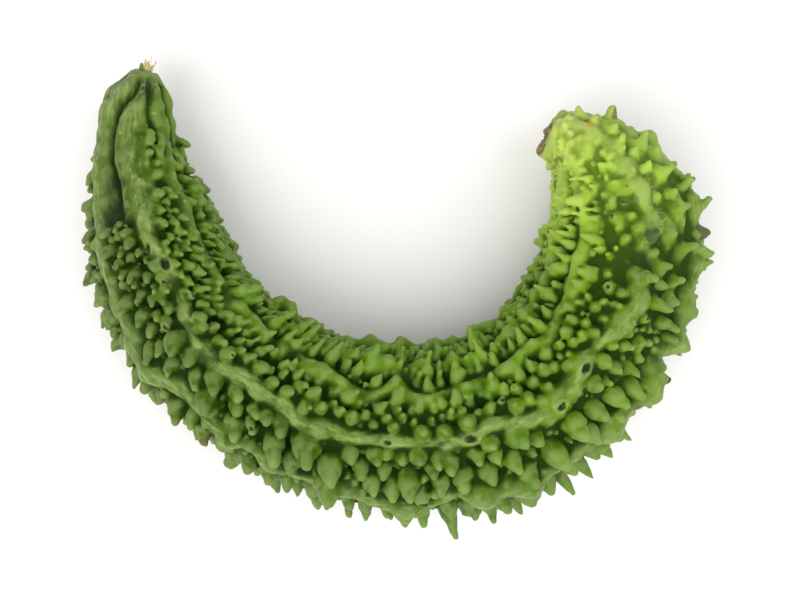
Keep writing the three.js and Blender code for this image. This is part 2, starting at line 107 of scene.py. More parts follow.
# each ridge's angle from the top at places along the fruit, and the peaks and dips of its crest
ridges = [
    {"course": [(0, 14), (8, 16), (13, 34), (20, 52), (27, 61), (38, 54), (50, 48), (60, 46),
                (70, 48), (78, 52), (84, 49), (94, 36), (104, 37), (116, 45), (127, 50),
                (138, 46), (148, 54), (160, 53), (168, 46), (180, 54), (195, 54), (205, 60),
                (220, 60), (240, 62), (286, 70)],
     "peaks": [(8, 1), (84, 2), (96, -1), (108, 2.5), (120, 2), (130, -1), (138, 2), (146, 0.5),
               (154, 5), (164, -1.5), (171, 4), (180, 4), (187, -1), (201, 3), (213, 5),
               (220, -2), (226, 3.5), (236, -0.5), (246, 1), (255, 1)]},
    {"course": [(0, -6), (8, -17), (13, -9), (20, -6), (28, -4), (38, -9), (50, -8), (62, -11),
                (76, -8), (88, -2), (104, -4), (116, -1), (128, 4), (140, 5), (152, 1), (164, 3),
                (178, -1), (190, 5), (197, 7), (206, 2), (215, 1), (224, 10), (240, 10),
                (262, 10), (275, 12), (286, 18)],
     "peaks": [(55, 1), (63, 2), (71, -1.5), (87, 1), (110, 0.8), (129, 2.5), (148, 1.5),
               (162, -1.5), (172, 1.5), (187, 1.5), (196, 3), (207, 2), (214, -1), (241, -2)]},
    {"course": [(0, -32), (8, -50), (13, -57), (20, -68), (28, -60), (35, -52), (46, -48),
                (62, -46), (77, -43), (88, -41), (104, -40), (118, -36), (131, -31), (143, -27),
                (149, -32), (158, -27), (166, -29), (173, -32), (192, -31), (205, -31),
                (222, -32), (241, -37), (262, -41), (286, -40)],
     "peaks": [(44, 1), (87, 1.5), (105, -2.8), (113, -2.8), (131, 1.5), (149, 3.5), (160, 1),
               (173, 3), (192, 1), (203, 3.5), (221, -1.5), (236, 1.5), (263, 2)]},
    {"course": [(0, -100), (15, -88), (29, -74), (40, -74), (54, -67), (66, -74), (80, -74),
                (95, -80), (104, -84), (113, -74), (124, -62), (139, -54), (150, -50), (160, -50),
                (168, -54), (181, -50), (198, -54), (212, -54), (235, -60), (262, -66),
                (286, -74)],
     "peaks": [(29, 1.5), (44, 2), (69, 1.5), (81, -2), (89, -1), (96, 2.5), (102, 3.5),
               (139, 2.5), (145, 2), (158, 2), (171, 2.5), (182, 2), (209, 2), (218, 1.5)]},
    {"course": [(0, -150), (40, -122), (80, -114), (106, -106), (124, -94), (138, -86),
                (160, -89), (180, -90), (200, -90), (220, -94), (240, -100), (286, -112)],
     "peaks": [(111, 2), (136, 2.5), (151, 2), (164, 2.5), (175, 2), (190, 2), (207, 2),
               (238, -1.5)]},
    {"course": [(0, -178), (40, -168), (100, -156), (160, -146), (220, -142), (286, -155)],
     "peaks": []},
    {"course": [(0, -212), (40, -213), (100, -205), (160, -198), (220, -192), (286, -199)],
     "peaks": []},
    {"course": [(0, -250), (12, -252), (40, -267), (100, -264), (130, -262), (190, -262),
                (230, -256), (286, -250)],
     "peaks": [(96, -2), (121, 1.5), (167, -1), (177, 2)]},
]

wartForm = {
    "seed": 20,
    "tries": 36000,
    "first": 20,
    "last": 287,
    "crestFrom": 2.5,
    "crestTo": 284,
    "crestStep": 4.4,
    "crestStepSpread": (0.85, 1.15),
    "leastCrestStep": 3,
    "crestWander": 4,
    "crestHeights": (-0.4, 1.0),
    "grooveStep": 4.6,
    "grooveEnd": 38,
    "begins": 16,
    "whole": 52,
    "calmFrom": 262,
    "calmTo": 288,
    "calmShare": 0.5,
    "spacing": [(-180, 4.9), (-130, 4.6), (-98, 3.4), (-60, 2.9), (-15, 2.9), (5, 3.3), (25, 4.6),
                (60, 4.9), (85, 4.2), (115, 4.4), (150, 4.9), (180, 4.9)],
    "height": [(-180, 3.0), (-110, 3.0), (-60, 2.8), (-20, 2.1), (10, 2.3), (40, 3.4), (80, 4.6),
               (105, 5.2), (135, 3.8), (180, 3.0)],
    "heightSpread": 0.5,
    "gapSpread": (0.85, 1.15),
    "crowding": 0.85,
    "growth": [(0, 0.58), (22, 0.58), (50, 0.64), (80, 0.95), (240, 1), (266, 0.85), (291, 0.6)],
    "scarRings": [(5.7, 12, 0.5), (3.2, 6, -0.2)],
    "scarSink": 0.5,
    # the long points along the outside: way along, reach from the middle line
    "spines": [
        (38.5, 19.6), (43, 19.5), (47.5, 20.3), (56, 24.3), (65.5, 26.2), (72.5, 26.2),
        (80.5, 26.8), (87.5, 25.6), (93.5, 24.9), (102, 24.4), (110.5, 28.2), (121.5, 27.5),
        (127, 26.4), (133, 29.2), (140, 29.0), (144, 29.2), (153, 31.0), (157.5, 30.0),
        (163.5, 33.6), (168, 28.8), (172, 31.0), (177, 30.4), (181, 29.8), (187, 32.4),
        (191.5, 32.2), (198, 31.6), (203, 31.6), (211, 28.6), (217, 27.6), (224.5, 28.4),
        (230, 26.8), (235, 27.4), (244, 27.4)],
    "spineAngles": [86, 97, 90],
    # the biggest warts elsewhere: way along, angle, height
    "bigWarts": [
        (109, 52, 4.5), (183, -12, 3.5), (191, 17, 4), (184, 30, 4.5), (202, 12, 5),
        (208, 24, 4.5), (214, 34, 5.5), (217, 58, 5.5), (221, 33, 5), (225, 66, 4), (223, 11, 5),
        (228, 46, 6), (230, -9, 4.5), (231, 25, 6.5), (233, 58, 5), (236, 12, 4), (238, 40, 5),
        (240, 24, 5), (244, 64, 4.5), (246, 46, 4.5), (248, 12, 3), (249, 30, 4.5),
        (253, -15, 4), (254, 44, 5.5), (254, 64, 5.5), (256, 80, 4), (258, 54, 4.5),
        (260, -17, 4), (262, -3, 5), (262, 36, 4), (265, -37, 4.5), (266, 8, 4), (267, 48, 5),
        (270, 66, 4), (270, 34, 5), (273, 18, 3.5), (276, 52, 3.5), (278, -14, 4.5)],
    "bigWartGap": 0.85,
}


def follow(pairs, place):
    # a smooth run through (place, value) pairs
    places, values = np.array(pairs, float).T
    place = np.clip(place, places[0], places[-1])
    k = np.clip(np.searchsorted(places, place, side="left") - 1, 0, len(places) - 2)
    before = np.maximum(np.arange(len(places)) - 1, 0)
    after = np.minimum(np.arange(len(places)) + 1, len(places) - 1)
    slope = (values[after] - values[before]) / (places[after] - places[before])
    width = places[k + 1] - places[k]
    t = (place - places[k]) / width
    rise = t * t * (3 - 2 * t)
    return (values[k] * (1 - rise) + values[k + 1] * rise
            + width * (slope[k] * t * (1 - t) ** 2 - slope[k + 1] * t * t * (1 - t)))


def between(ends, share):
    return ends[0] + (ends[1] - ends[0]) * share


def smoothstep(x, low, high):
    t = np.clip((x - low) / (high - low), 0, 1)
    return t * t * (3 - 2 * t)


def wrapDegrees(a):
    return (a + 180) % 360 - 180


def centripetalCurve(knots, samples):
    # centripetal Catmull-Rom through the knots, at even steps of its parameter
    p = np.array(knots, float)
    p = np.vstack([2 * p[0] - p[1], p, 2 * p[-1] - p[-2]])
    place = np.linspace(0, len(knots) - 1, samples + 1)
    k = np.minimum(place.astype(int), len(knots) - 2)
    t = (place - k)[:, None]
    p0, p1, p2, p3 = p[k], p[k + 1], p[k + 2], p[k + 3]
    pairs = (p0, p1), (p1, p2), (p2, p3)
    d0, d1, d2 = (np.sqrt(np.linalg.norm(b - a, axis=1))[:, None] for a, b in pairs)
    m1 = ((p1 - p0) / d0 - (p2 - p0) / (d0 + d1) + (p2 - p1) / d1) * d1
    m2 = ((p2 - p1) / d1 - (p3 - p1) / (d1 + d2) + (p3 - p2) / d2) * d1
    return (p1 + m1 * t + (3 * (p2 - p1) - 2 * m1 - m2) * t ** 2
            + (2 * (p1 - p2) + m1 + m2) * t ** 3)


class MiddleLine:
    def __init__(self, knots, samples=6000):
        self.points = centripetalCurve(knots, samples)
        steps = np.linalg.norm(np.diff(self.points, axis=0), axis=1)
        self.ways = np.concatenate([[0], np.cumsum(steps)])
        self.length = self.ways[-1]

    def pointAt(self, along):
        return np.stack([np.interp(along, self.ways, self.points[:, i]) for i in range(3)], -1)

    def at(self, along):
        # the point, and the directions along, outwards round the bend, and up
        along = np.asarray(along, float)
        inside = np.clip(along, 0, self.length)
        step = 0.05
        tangent = (self.pointAt(np.minimum(inside + step, self.length))
                   - self.pointAt(np.maximum(inside - step, 0)))
        tangent /= np.linalg.norm(tangent, axis=-1, keepdims=True)
        outwards = np.stack([tangent[..., 1], -tangent[..., 0], 0 * tangent[..., 0]], -1)
        outwards /= np.linalg.norm(outwards, axis=-1, keepdims=True)
        upwards = np.cross(outwards, tangent)
        point = self.pointAt(inside) + tangent * (along - inside)[..., None]
        return point, tangent, outwards, upwards


middleLine = MiddleLine(fruitForm["middleLine"])
profileAlong, profileRadius = centripetalCurve(fruitForm["profile"], fruitForm["profileSamples"]).T
profileSteps = np.hypot(np.diff(profileAlong), np.diff(profileRadius))
profileSkin = np.concatenate([[0], np.cumsum(profileSteps)])
profileRadius = np.maximum(profileRadius, 0)


def profileAtSkin(skin):
    # way along, radius and the profile's slope at a length walked over the skin
    along = np.interp(skin, profileSkin, profileAlong)
    radius = np.interp(skin, profileSkin, profileRadius)
    k = np.clip(np.searchsorted(profileSkin, skin) - 1, 0, len(profileSkin) - 2)
    step = np.hypot(profileAlong[k + 1] - profileAlong[k], profileRadius[k + 1] - profileRadius[k])
    return (along, radius, (profileAlong[k + 1] - profileAlong[k]) / step,
            (profileRadius[k + 1] - profileRadius[k]) / step)


def skinAt(along):
    return profileSkin[1 + np.argmax(profileAlong[1:] >= along)]


def inHollow(along, radius, angle):
    hollow = fruitForm["hollow"]
    around = np.radians(wrapDegrees(angle - hollow["angle"])) * radius
    return np.exp(-((along - hollow["along"]) / hollow["length"]) ** 2
                  - (around / hollow["width"]) ** 2)


def nearestRidges(along, radius, angle):
    # which ridge is nearest, how far off its crest is, and half the gap to the next one
    away = np.stack([np.abs(np.radians(wrapDegrees(angle - follow(r["course"], along))))
                     for r in ridges])
    order = np.argmin(away, axis=0)
    first, second = np.sort(away, axis=0)[:2]
    return order, first * radius, (first + second) / 2 * radius


def relief(along, radius, angle):
    # height of the skin over the flesh profile, with no warts on it
    nearest, away, halfGap = nearestRidges(along, radius, angle)
    lobes = 1 - smoothstep(along, fruitForm["lobesEnd"], fruitForm["wartsFull"])
    lift = follow(fruitForm["ridgeLift"], along)
    groove = (fruitForm["grooveDepth"] * smoothstep(along, *fruitForm["grooveStart"])
              * np.exp(-((halfGap - away) / fruitForm["grooveWidth"]) ** 2))
    crest = np.exp(-(away / fruitForm["ridgeWidth"]) ** fruitForm["ridgeRoundness"])
    height = lobes * (lift - groove) + (1 - lobes) * lift * crest
    for k, ridge in enumerate(ridges):
        for place, extra in ridge["peaks"]:
            peak = extra * crest * np.exp(-((along - place) / fruitForm["peakLength"]) ** 2)
            height = height + np.where(nearest == k, peak, 0)
    return height - fruitForm["hollow"]["depth"] * inHollow(along, radius, angle)


def wartiness(along):
    calm = (1 - wartForm["calmShare"]) * smoothstep(along, wartForm["calmFrom"], wartForm["calmTo"])
    return smoothstep(along, wartForm["begins"], wartForm["whole"]) * (1 - calm)


def seededRandom(seed):
    state = seed

    def draw():
        nonlocal state
        state = (state + 0x6D2B79F5) & 0xFFFFFFFF
        mix = ((state ^ (state >> 15)) * (state | 1)) & 0xFFFFFFFF
        mix = ((mix + (((mix ^ (mix >> 7)) * (mix | 61)) & 0xFFFFFFFF)) & 0xFFFFFFFF) ^ mix
        return (mix ^ (mix >> 14)) / 4294967296

    return draw


# ---- the warts' places, by the same rule and seed as in the solid

def crestPlaces(ridge, draw):
    places = [skinAt(place) for place, extra in ridge["peaks"]]
    skin, end = skinAt(wartForm["crestFrom"]), skinAt(wartForm["crestTo"])
    while skin < end:
        if all(abs(place - skin) > wartForm["leastCrestStep"] for place in places):
            places.append(skin)
        skin += wartForm["crestStep"] * between(wartForm["crestStepSpread"], draw())
    return places


def placeCrest(draw):
    rows, counts = [], []
    for ridge in ridges:
        places = crestPlaces(ridge, draw)
        counts.append(len(places))
        for skin in places:
            along, radius = profileAtSkin(skin)[:2]
            rough = wartiness(along)
            stray = (draw() - 0.5) * wartForm["crestWander"] * rough
            angle = follow(ridge["course"], along) + stray
            height = between(wartForm["crestHeights"], draw()) * rough
            rows.append((skin, float(angle), radius, float(height), 0.0))
    return rows, counts


def placeGrooves():
    rows = []
    for k, ridge in enumerate(ridges):
        other = ridges[(k + 1) % len(ridges)]
        skin = skinAt(wartForm["crestFrom"])
        while skin < skinAt(wartForm["grooveEnd"]):
            along, radius = profileAtSkin(skin)[:2]
            start = follow(ridge["course"], along)
            gap = wrapDegrees(follow(other["course"], along) - start)
            rows.append((skin, float(start + gap / 2), radius, 0.0, 0.0))
            skin += wartForm["grooveStep"]
    return rows


def placeSpines():
    rows = []
    for k, (along, reach) in enumerate(wartForm["spines"]):
        angle = wartForm["spineAngles"][k % len(wartForm["spineAngles"])]
        skin = skinAt(along)
        radius = profileAtSkin(skin)[1]
        height = reach / math.sin(math.radians(angle)) - radius
        height -= relief(along, radius, float(angle))
        rows.append((skin, float(angle), radius, float(height), 0.0))
    return rows


def placeBigWarts():
    rows = []
    for along, angle, height in wartForm["bigWarts"]:
        skin = skinAt(along)
        rows.append((skin, float(angle), profileAtSkin(skin)[1], height,
                     height * wartForm["bigWartGap"]))
    return rows


def placeEnds():
    rows = [(0.0, 0.0, 0.0, 0.0, 0.0), (profileSkin[-1], 0.0, 0.0, -wartForm["scarSink"], 0.0)]
    for ring, (radius, count, height) in enumerate(wartForm["scarRings"]):
        k = fruitForm["profileSamples"]
        while profileRadius[k] < radius:
            k -= 1
        for i in range(count):
            angle = wrapDegrees((i + ring / 2) * (360 / count))
            rows.append((profileSkin[k], angle, profileRadius[k], height, 0.0))
    return rows


def placeWarts(fixed, draw):
    count = wartForm["tries"]
    draws = np.array([draw() for _ in range(3 * count)]).reshape(count, 3)
    skinFrom, skinTo = skinAt(wartForm["first"]), skinAt(wartForm["last"])
    skins = skinFrom + (skinTo - skinFrom) * draws[:, 0]
    angles = 360 * draws[:, 1] - 180
    size = draws[:, 2]
    along, radii = profileAtSkin(skins)[:2]
    growth = follow(wartForm["growth"], along)
    spacing = follow(wartForm["spacing"], angles) * growth * between(wartForm["gapSpread"], size)
    tall = 1 - wartForm["heightSpread"] / 2 + wartForm["heightSpread"] * size
    sunk = 1 - fruitForm["hollow"]["calm"] * inHollow(along, radii, angles)
    heights = follow(wartForm["height"], angles) * growth * tall * wartiness(along) * sunk
    sites = np.zeros((len(fixed) + count, 5))
    sites[:len(fixed)] = fixed
    used = len(fixed)
    for k in range(count):
        near = sites[:used]
        around = np.radians(wrapDegrees(near[:, 1] - angles[k])) * (near[:, 2] + radii[k]) / 2
        gap = np.hypot(near[:, 0] - skins[k], around)
        if np.all(gap > np.maximum(spacing[k], near[:, 4] * wartForm["crowding"])):
            sites[used] = skins[k], angles[k], radii[k], heights[k], spacing[k]
            used += 1
    return sites[len(fixed):used]


draw = seededRandom(wartForm["seed"])
endRows = placeEnds()
crestRows, crestCounts = placeCrest(draw)
grooveRows = placeGrooves()
spineRows = placeSpines()
bigRows = placeBigWarts()
wartRows = placeWarts(endRows + crestRows + grooveRows + spineRows + bigRows, draw)
print("placed", len(crestRows), "crest points,", len(spineRows), "long points,", len(bigRows),
      "big warts and", len(wartRows), "others")

# ---- the skin as one field of distances, sampled on an even grid

skinForm = {
    "gridStep": 0.5,
    "margin": 2.5,
    "lowest": -1.0,
    "farOut": 12.0,  # beyond this the field is left flat
    "wartSink": 0.95,  # how far the skin dips between warts
    "blend": 1.2,  # roundness of the crease where a wart meets the flesh
    "wartBlend": 0.55,  # and where two warts meet
    "sink": 0.62,  # how much of a wart's root radius lies under the skin
    "triangles": 196000,
}

# the build of the warts, against their place: 0 is the rounded sort between the upper ridges,
# 1 the pointed sort on the outer flank and the blossom arm
wartBuild = {
    "baseShare": (0.70, 0.69),  # radius at the root, out of the gap to its neighbours
    "waist": (0.68, 0.56),  # radius half way up, out of that at the root
    "tip": (0.28, 0.23),  # radius of the round tip
    # how much longer than in the solid they are here, and how much they turn away from the
    # top, against the angle
    "taller": [(-180, 1.1), (-110, 0.95), (-85, 0.95), (-65, 1.4), (-45, 2.1), (-20, 1.8),
               (-5, 1.5), (5, 1.3), (30, 1.15), (60, 1.0), (85, 0.9), (120, 0.95), (180, 1.1)],
    "turned": [(-180, 0), (-110, 0), (-85, -0.1), (-65, -0.4), (-45, -0.75), (-25, -0.5),
               (-8, -0.2), (12, 0.35), (45, 0.38), (65, 0.1), (110, 0), (180, 0)],
    "slimmer": [(0, 1), (225, 1), (245, 0.84), (290, 0.72)],
    "innerSlimmer": (236, 262, 0.74),  # more so on the inner side of the blossom arm
    "innerTurn": (-5, 15),
    # how much their sizes differ
    "uneven": [(40, 0.1), (70, 0.24), (200, 0.28), (230, 0.4), (290, 0.4)],
    "outlineFrom": 62,  # past this angle none is taller than in the solid
    "inTent": (0.62, 0.75),  # big warts on a skirt of their own: breadth of root and tip
    "slender": [(-180, 1), (-110, 0.95), (-60, 0.82), (-30, 0.84), (0, 1), (22, 0.86), (60, 0.88),
                (85, 1), (180, 1)],
    "turnedAlong": [(0, 0.4), (60, 0.7), (90, 1), (170, 1), (215, 0.7), (245, 0.9), (290, 0.9)],
    "shorter": [(0, 1), (225, 1), (262, 0.95), (272, 0.7), (290, 0.55)],
    # where they keep their height all the same: on top, but for the outer side of the end
    "kept": {"angles": (40, 60), "end": (272, 284), "endAngle": 25, "endShare": 0.9},
    "girthShare": 0.6,  # how much of a larger size goes into breadth
    "longer": [(0, 1), (42, 1), (58, 1.08), (100, 1.08), (130, 1)],  # on the upper side only
    "bulbsEnd": (46, 66),  # by the stem the warts between the upper ridges are bulbs
    "bulbAngle": 64,
    "bulb": (0.86, 0.5),  # their waist and tip
    "bulbShare": 0.8,
    # on the top of the blossom arm they run into each other
    "melting": [(0, 0), (226, 0), (240, 1), (258, 1), (268, 0), (290, 0)],
    "meltingAngles": (-25, 60),
    "meltingBlend": 0.9,
    "thinned": 0.55,  # share of the small warts left out there
    "small": (0.8, 0.62),  # breadth and height of those that are left
    "leastHeight": (1.65, 1.45),  # out of the radius at the root
    "baseSpread": (0.9, 1.1),
    "forwards": [(0, 0.5), (40, 0.6), (65, 0.68), (100, 0.58), (130, 0.35), (170, 0.12), (230, 0),
                 (250, 0.15), (290, 0.1)],
    "pointedFrom": (45, 75),  # angle from the top
    "pointedPast": (190, 225),  # way along, and there at these angles
    "pointedTurn": (-40, 10),
    "tipSpread": (0.8, 1.35),
    "sideways": 0.6,
    "leanSpread": 0.7,
    "middle": (0.42, 0.3),  # how far up and how far over the waist is, out of the tip's
    "joint": 0.4,  # roundness of the crease at the waist
    "spineBase": 3.3,
    "spineWaist": 0.62,
    "spineTip": (0.6, 0.85),
    "bigBase": (0.58, 0.7),  # out of the height
    "bigTip": (0.7, 1.15),
    "crestKeepOff": 1.5,
    "keepOffGrows": (40, 80),
    "lobeShare": 0.72,  # on the smooth lobes warts grow only this far off the crest
    "innerFlank": (-66, 30, 42),  # past this angle the lobes end sooner
    "hollowEnd": 46,  # up to here none grow in the hollow or at these angles
    "deepHollow": 0.2,
    "bareAngles": (-8, 70),
    "brokenFrom": 240,  # past this the broken-up ridges grow warts of their own
    "brokenTo": 272,
    "brokenStray": (-6, 6),
    "brokenHeight": (1.6, 3.4),
    "brokenShare": 0.6,
}

# small beads between the warts, few of them where there are webs
beadForm = {
    "tries": 20000, "least": 0.5, "keepOff": 2.4, "first": 24, "last": 286, "cell": 4.0,
    "fewFrom": 226, "fewAngles": (-25, 110), "few": 0.012,
    "fill": 1.2,  # size out of the room there is
    "sunk": 0.2, "waist": 0.9, "tip": 0.65,
    "most": [(-180, 1.2), (-90, 1), (0, 1), (20, 1.5), (80, 1.6), (180, 1.4)],
    "riseSpread": (0.5, 1.2),
    "rise": [(-180, 1), (0, 1), (20, 1.7), (80, 1.7), (180, 1)],
}

# uneven flesh: size of its waves, how high they are
waves = [(3.2, 0.32), (1.7, 0.17), (1.1, 0.08)]

# small healed pits: way along, angle, height over the skin (0 is in the nearest wart's tip), radius
pits = [
    (56, -4, 0.5, 1.2), (62.9, -12, 0.6, 2.0), (147.5, 3, 0.4, 1.3), (172, 2, 0.4, 1.9),
    (109, 53, 0, 1.3), (154, 52, 0, 1.8), (213, 60, 0, 1.6), (233, 57, 0, 1.1),
    (207, 4, 0.6, 2.0), (195.6, 8, 0.5, 1.4), (182.5, -12, 0, 1.1), (173.8, -19, 0, 0.9),
    (114, 20, 0, 1.0), (230, -9, 0, 1.2), (223, 11, 0, 1.3), (253, -15, 0, 1.1),
    (260, -17, 0, 1.2), (265, -37, 0, 1.1), (266, 8, 0, 1.1), (262, -3, 0, 1.0),
    (184, 30, 0, 1.1), (191, 17, 0, 1.3), (202, 12, 0, 1.4), (68, -2, 0, 1.0), (78, -14, 0, 1.0),
    (86, 12, 0, 1.1), (99, -12, 0, 0.9), (231, 25, 0, 0.8), (244, 64, 0, 1.0),
]
pitForm = {
    "depth": 0.7, "size": 0.74, "along": 1.5, "edge": 0.3,
    "ownShare": 0.07, "ownRadius": (0.34, 0.5), "ownFrom": 1.3,  # small ones in other warts' tips
}

# low lumps and dips on the smooth lobes by the stem
lumpForm = {"seed": 3, "count": 110, "along": (5, 60), "angle": (-95, 100), "size": (0.8, 2.2),
            "height": (-0.45, 0.6), "longer": 1.6}

# pointed skirts round the big warts, and the webs between them
tentForm = {"seed": 12, "first": 150, "share": 0.78, "reach": 2.9, "reachSpread": (0.8, 1.3),
            "girth": 22, "webLongest": 10.5, "webShare": 0.62, "webBreadth": 1.0, "sag": 0.7}


class Table:
    # values at even steps of two measures, read with straight lines between them
    def __init__(self, values, starts, steps):
        self.values, self.starts, self.steps = values.astype(np.float32), starts, steps

    def at(self, a, b):
        i = np.clip((a - self.starts[0]) / self.steps[0], 0, self.values.shape[0] - 1.001)
        j = np.clip((b - self.starts[1]) / self.steps[1], 0, self.values.shape[1] - 1.001)
        i0, j0 = i.astype(np.int32), j.astype(np.int32)
        u, v = i - i0, j - j0
        t = self.values
        return ((t[i0, j0] * (1 - v) + t[i0, j0 + 1] * v) * (1 - u)
                + (t[i0 + 1, j0] * (1 - v) + t[i0 + 1, j0 + 1] * v) * u)


tableStep = 0.25


def profileDistances():
    # how far each place along and radius is from the flesh profile, less than 0 inside it
    along = np.arange(-16, 306.1, tableStep)
    radius = np.arange(0, 46.1, tableStep)
    outline = np.stack([profileAlong, profileRadius], -1)[::3]
    grid = np.stack(np.meshgrid(along, radius, indexing="ij"), -1)
    away = np.full(grid.shape[:2], 1e9, np.float32)
    for start in range(0, len(outline) - 1, 40):
        part = outline[start:start + 41]
        near = (along > part[:, 0].min() - 30) & (along < part[:, 0].max() + 30)
        cells = grid[near]
        for a, b in zip(part[:-1], part[1:]):
            edge = b - a
            t = np.clip(((cells - a) @ edge) / (edge @ edge), 0, 1)
            away[near] = np.minimum(away[near], np.hypot(cells[..., 0] - a[0] - t * edge[0],
                                                         cells[..., 1] - a[1] - t * edge[1]))
    widest = int(np.argmax(profileAlong))
    outer = np.interp(grid[..., 0], profileAlong[:widest + 1], profileRadius[:widest + 1], right=0)
    face = np.interp(grid[..., 1], profileRadius[widest:][::-1], profileAlong[widest:][::-1])
    inside = (grid[..., 0] > 0) & (grid[..., 1] < outer) & (grid[..., 0] < np.maximum(
        face, np.where(grid[..., 1] > profileRadius[widest], 1e9, 0)))
    return Table(np.where(inside, -away, away), (along[0], radius[0]), (tableStep, tableStep))


def lumps(along, angle, radius):
    rng = np.random.default_rng(lumpForm["seed"])
    height = np.zeros_like(along)
    for _ in range(lumpForm["count"]):
        place, turn = rng.uniform(*lumpForm["along"]), rng.uniform(*lumpForm["angle"])
        size, high = rng.uniform(*lumpForm["size"]), rng.uniform(*lumpForm["height"])
        around = np.radians(wrapDegrees(angle - turn)) * radius
        height += high * np.exp(-((along - place) / (size * lumpForm["longer"])) ** 2
                                - (around / size) ** 2)
    return height


def leaner(along, angle):
    # how much the skin is drawn in against the solid
    return sum(follow(much, along) * np.exp(-(wrapDegrees(angle - turn) / breadth) ** 2)
               for turn, breadth, much in fruitForm["leaner"])


def tents(along, angle, radius):
    rng = np.random.default_rng(tentForm["seed"])
    places = [row for row in wartForm["bigWarts"] if row[0] > tentForm["first"]]
    height = np.zeros_like(along)
    for k, (place, turn, high) in enumerate(places):
        x, y = along - place, np.radians(wrapDegrees(angle - turn)) * radius
        high = high * tentForm["share"]
        reach = tentForm["reach"] * rng.uniform(*tentForm["reachSpread"])
        height = np.maximum(height, high * np.exp(-np.hypot(x, y) / reach))
        for other in places[k + 1:]:
            dx = other[0] - place
            dy = np.radians(other[1] - turn) * tentForm["girth"]
            gap = np.hypot(dx, dy)
            if gap > tentForm["webLongest"] or rng.random() > tentForm["webShare"]:
                continue
            t = np.clip((x * dx + y * dy) / gap ** 2, 0, 1)
            crest = ((high * (1 - t) + other[2] * tentForm["share"] * t)
                     * (1 - tentForm["sag"] * 4 * t * (1 - t)))
            away = np.hypot(x - t * dx, y - t * dy)
            height = np.maximum(height, crest * np.exp(-away / tentForm["webBreadth"]))
    return height


def crestWander():
    # how far each ridge's crest strays sideways and up, at its own points
    wander, start = [], 0
    for ridge, count in zip(ridges, crestCounts):
        rows = sorted(crestRows[start:start + count])
        along = profileAtSkin(np.array([row[0] for row in rows]))[0]
        side = [row[1] for row in rows] - follow(ridge["course"], along)
        wander.append((list(zip(along, side)), list(zip(along, [row[3] for row in rows]))))
        start += count
    return wander


def ripple(waves, along, start):
    # a few waves of different length along the fruit, from their own start
    return sum(high * np.sin(along / length + start * (3.1 + length)) for length, high in waves)


def fadeOf(k, along):
    # how much of a ridge is gone where it breaks up into warts
    if k not in fruitForm["fading"]:
        return np.zeros_like(along)
    first, last, share = fruitForm["fading"][k]
    return share * smoothstep(along, first, last)


def reliefTable():
    # height of the skin over the flesh profile at each way along and angle, without its warts
    along = np.arange(0, 290.6, tableStep)
    angle = np.arange(-181, 182, 1.0)
    a, b = np.meshgrid(along, angle, indexing="ij")
    turns = fruitForm["profileTurns"]
    radius = profileAtSkin(np.interp(a, profileAlong[:turns], profileSkin[:turns]))[1]
    wander = crestWander()
    nearest = nearestRidges(a, radius, b)[0]
    warty = smoothstep(along, fruitForm["lobesEnd"], fruitForm["wartsFull"])
    turned, uneven, fade = b.copy(), np.zeros_like(a), np.zeros_like(a)
    for k, (side, height) in enumerate(wander):
        course = follow(ridges[k]["course"], along)
        band = fruitForm["broader"]
        if k in fruitForm["bands"]:
            band = follow(fruitForm["bands"][k], along)
        broader = 1 + warty * (band - 1 + ripple(fruitForm["broaderWaves"], along, k))
        off = wrapDegrees(b - (course + follow(side, along))[:, None]) / broader[:, None]
        turned = np.where(nearest == k, course[:, None] + off, turned)
        lump = follow(height, along) + ripple(fruitForm["lumps"], along, k + 8) * warty
        uneven = np.where(nearest == k, lump[:, None], uneven)
        fade = np.where(nearest == k, fadeOf(k, along)[:, None], fade)
    raised = relief(a, radius, turned)
    away = nearestRidges(a, radius, turned)[1]
    crest = np.exp(-(away / fruitForm["ridgeWidth"]) ** fruitForm["ridgeRoundness"])
    raised += uneven * crest - skinForm["wartSink"] * wartiness(a) * (1 - crest)
    raised -= fade * crest * follow(fruitForm["ridgeLift"], a)
    raised += lumps(a, b, radius) + tents(a, b, radius) - leaner(a, b)
    return Table(raised, (along[0], angle[0]), (tableStep, 1.0))


def stationsFor(x, y):
    # nearest place on the middle line, seen from above, for each point
    ways = np.arange(0, middleLine.length, 0.3)
    point, tangent, outwards, _ = middleLine.at(ways)
    flat = tangent[:, :2] / np.linalg.norm(tangent[:, :2], axis=1, keepdims=True)
    nearest = np.empty(x.shape, np.int32)
    for row in range(len(x)):
        gap = (x[row][:, None] - point[:, 0]) ** 2 + (y[row][:, None] - point[:, 1]) ** 2
        nearest[row] = np.argmin(gap, axis=1)
    dx, dy = x - point[nearest, 0], y - point[nearest, 1]
    along = ways[nearest] + dx * flat[nearest, 0] + dy * flat[nearest, 1]
    out = dx * outwards[nearest, 0] + dy * outwards[nearest, 1]
    return along, out, middleLine.at(along)[0][..., 2]


def smoothUnion(a, b, blend):
    return np.minimum(a, b) - np.maximum(blend - np.abs(a - b), 0) ** 2 / (4 * blend)


def roundCone(points, foot, tip, footRadius, tipRadius):
    # distance to a cone with rounded ends
    axis = tip - foot
    length = np.linalg.norm(axis)
    rise = footRadius - tipRadius
    rel = points - foot
    y = rel @ (axis / length)
    x = np.sqrt(np.maximum((rel ** 2).sum(-1) - y * y, 0))
    if length <= abs(rise):
        return np.hypot(x, y) - footRadius
    slope = rise / length
    side = math.sqrt(1 - slope * slope)
    t = np.clip((y - x * slope / side) / length, 0, 1)
    return np.hypot(x, y - t * length) - (footRadius - t * rise)


def wartDistance(points, wart):
    # a root, a waist and a tip, joined by two round cones
    lower = roundCone(points, wart["root"], wart["middle"], wart["base"], wart["waist"])
    upper = roundCone(points, wart["middle"], wart["tip"], wart["waist"], wart["tipRadius"])
    return smoothUnion(lower, upper, wartBuild["joint"])


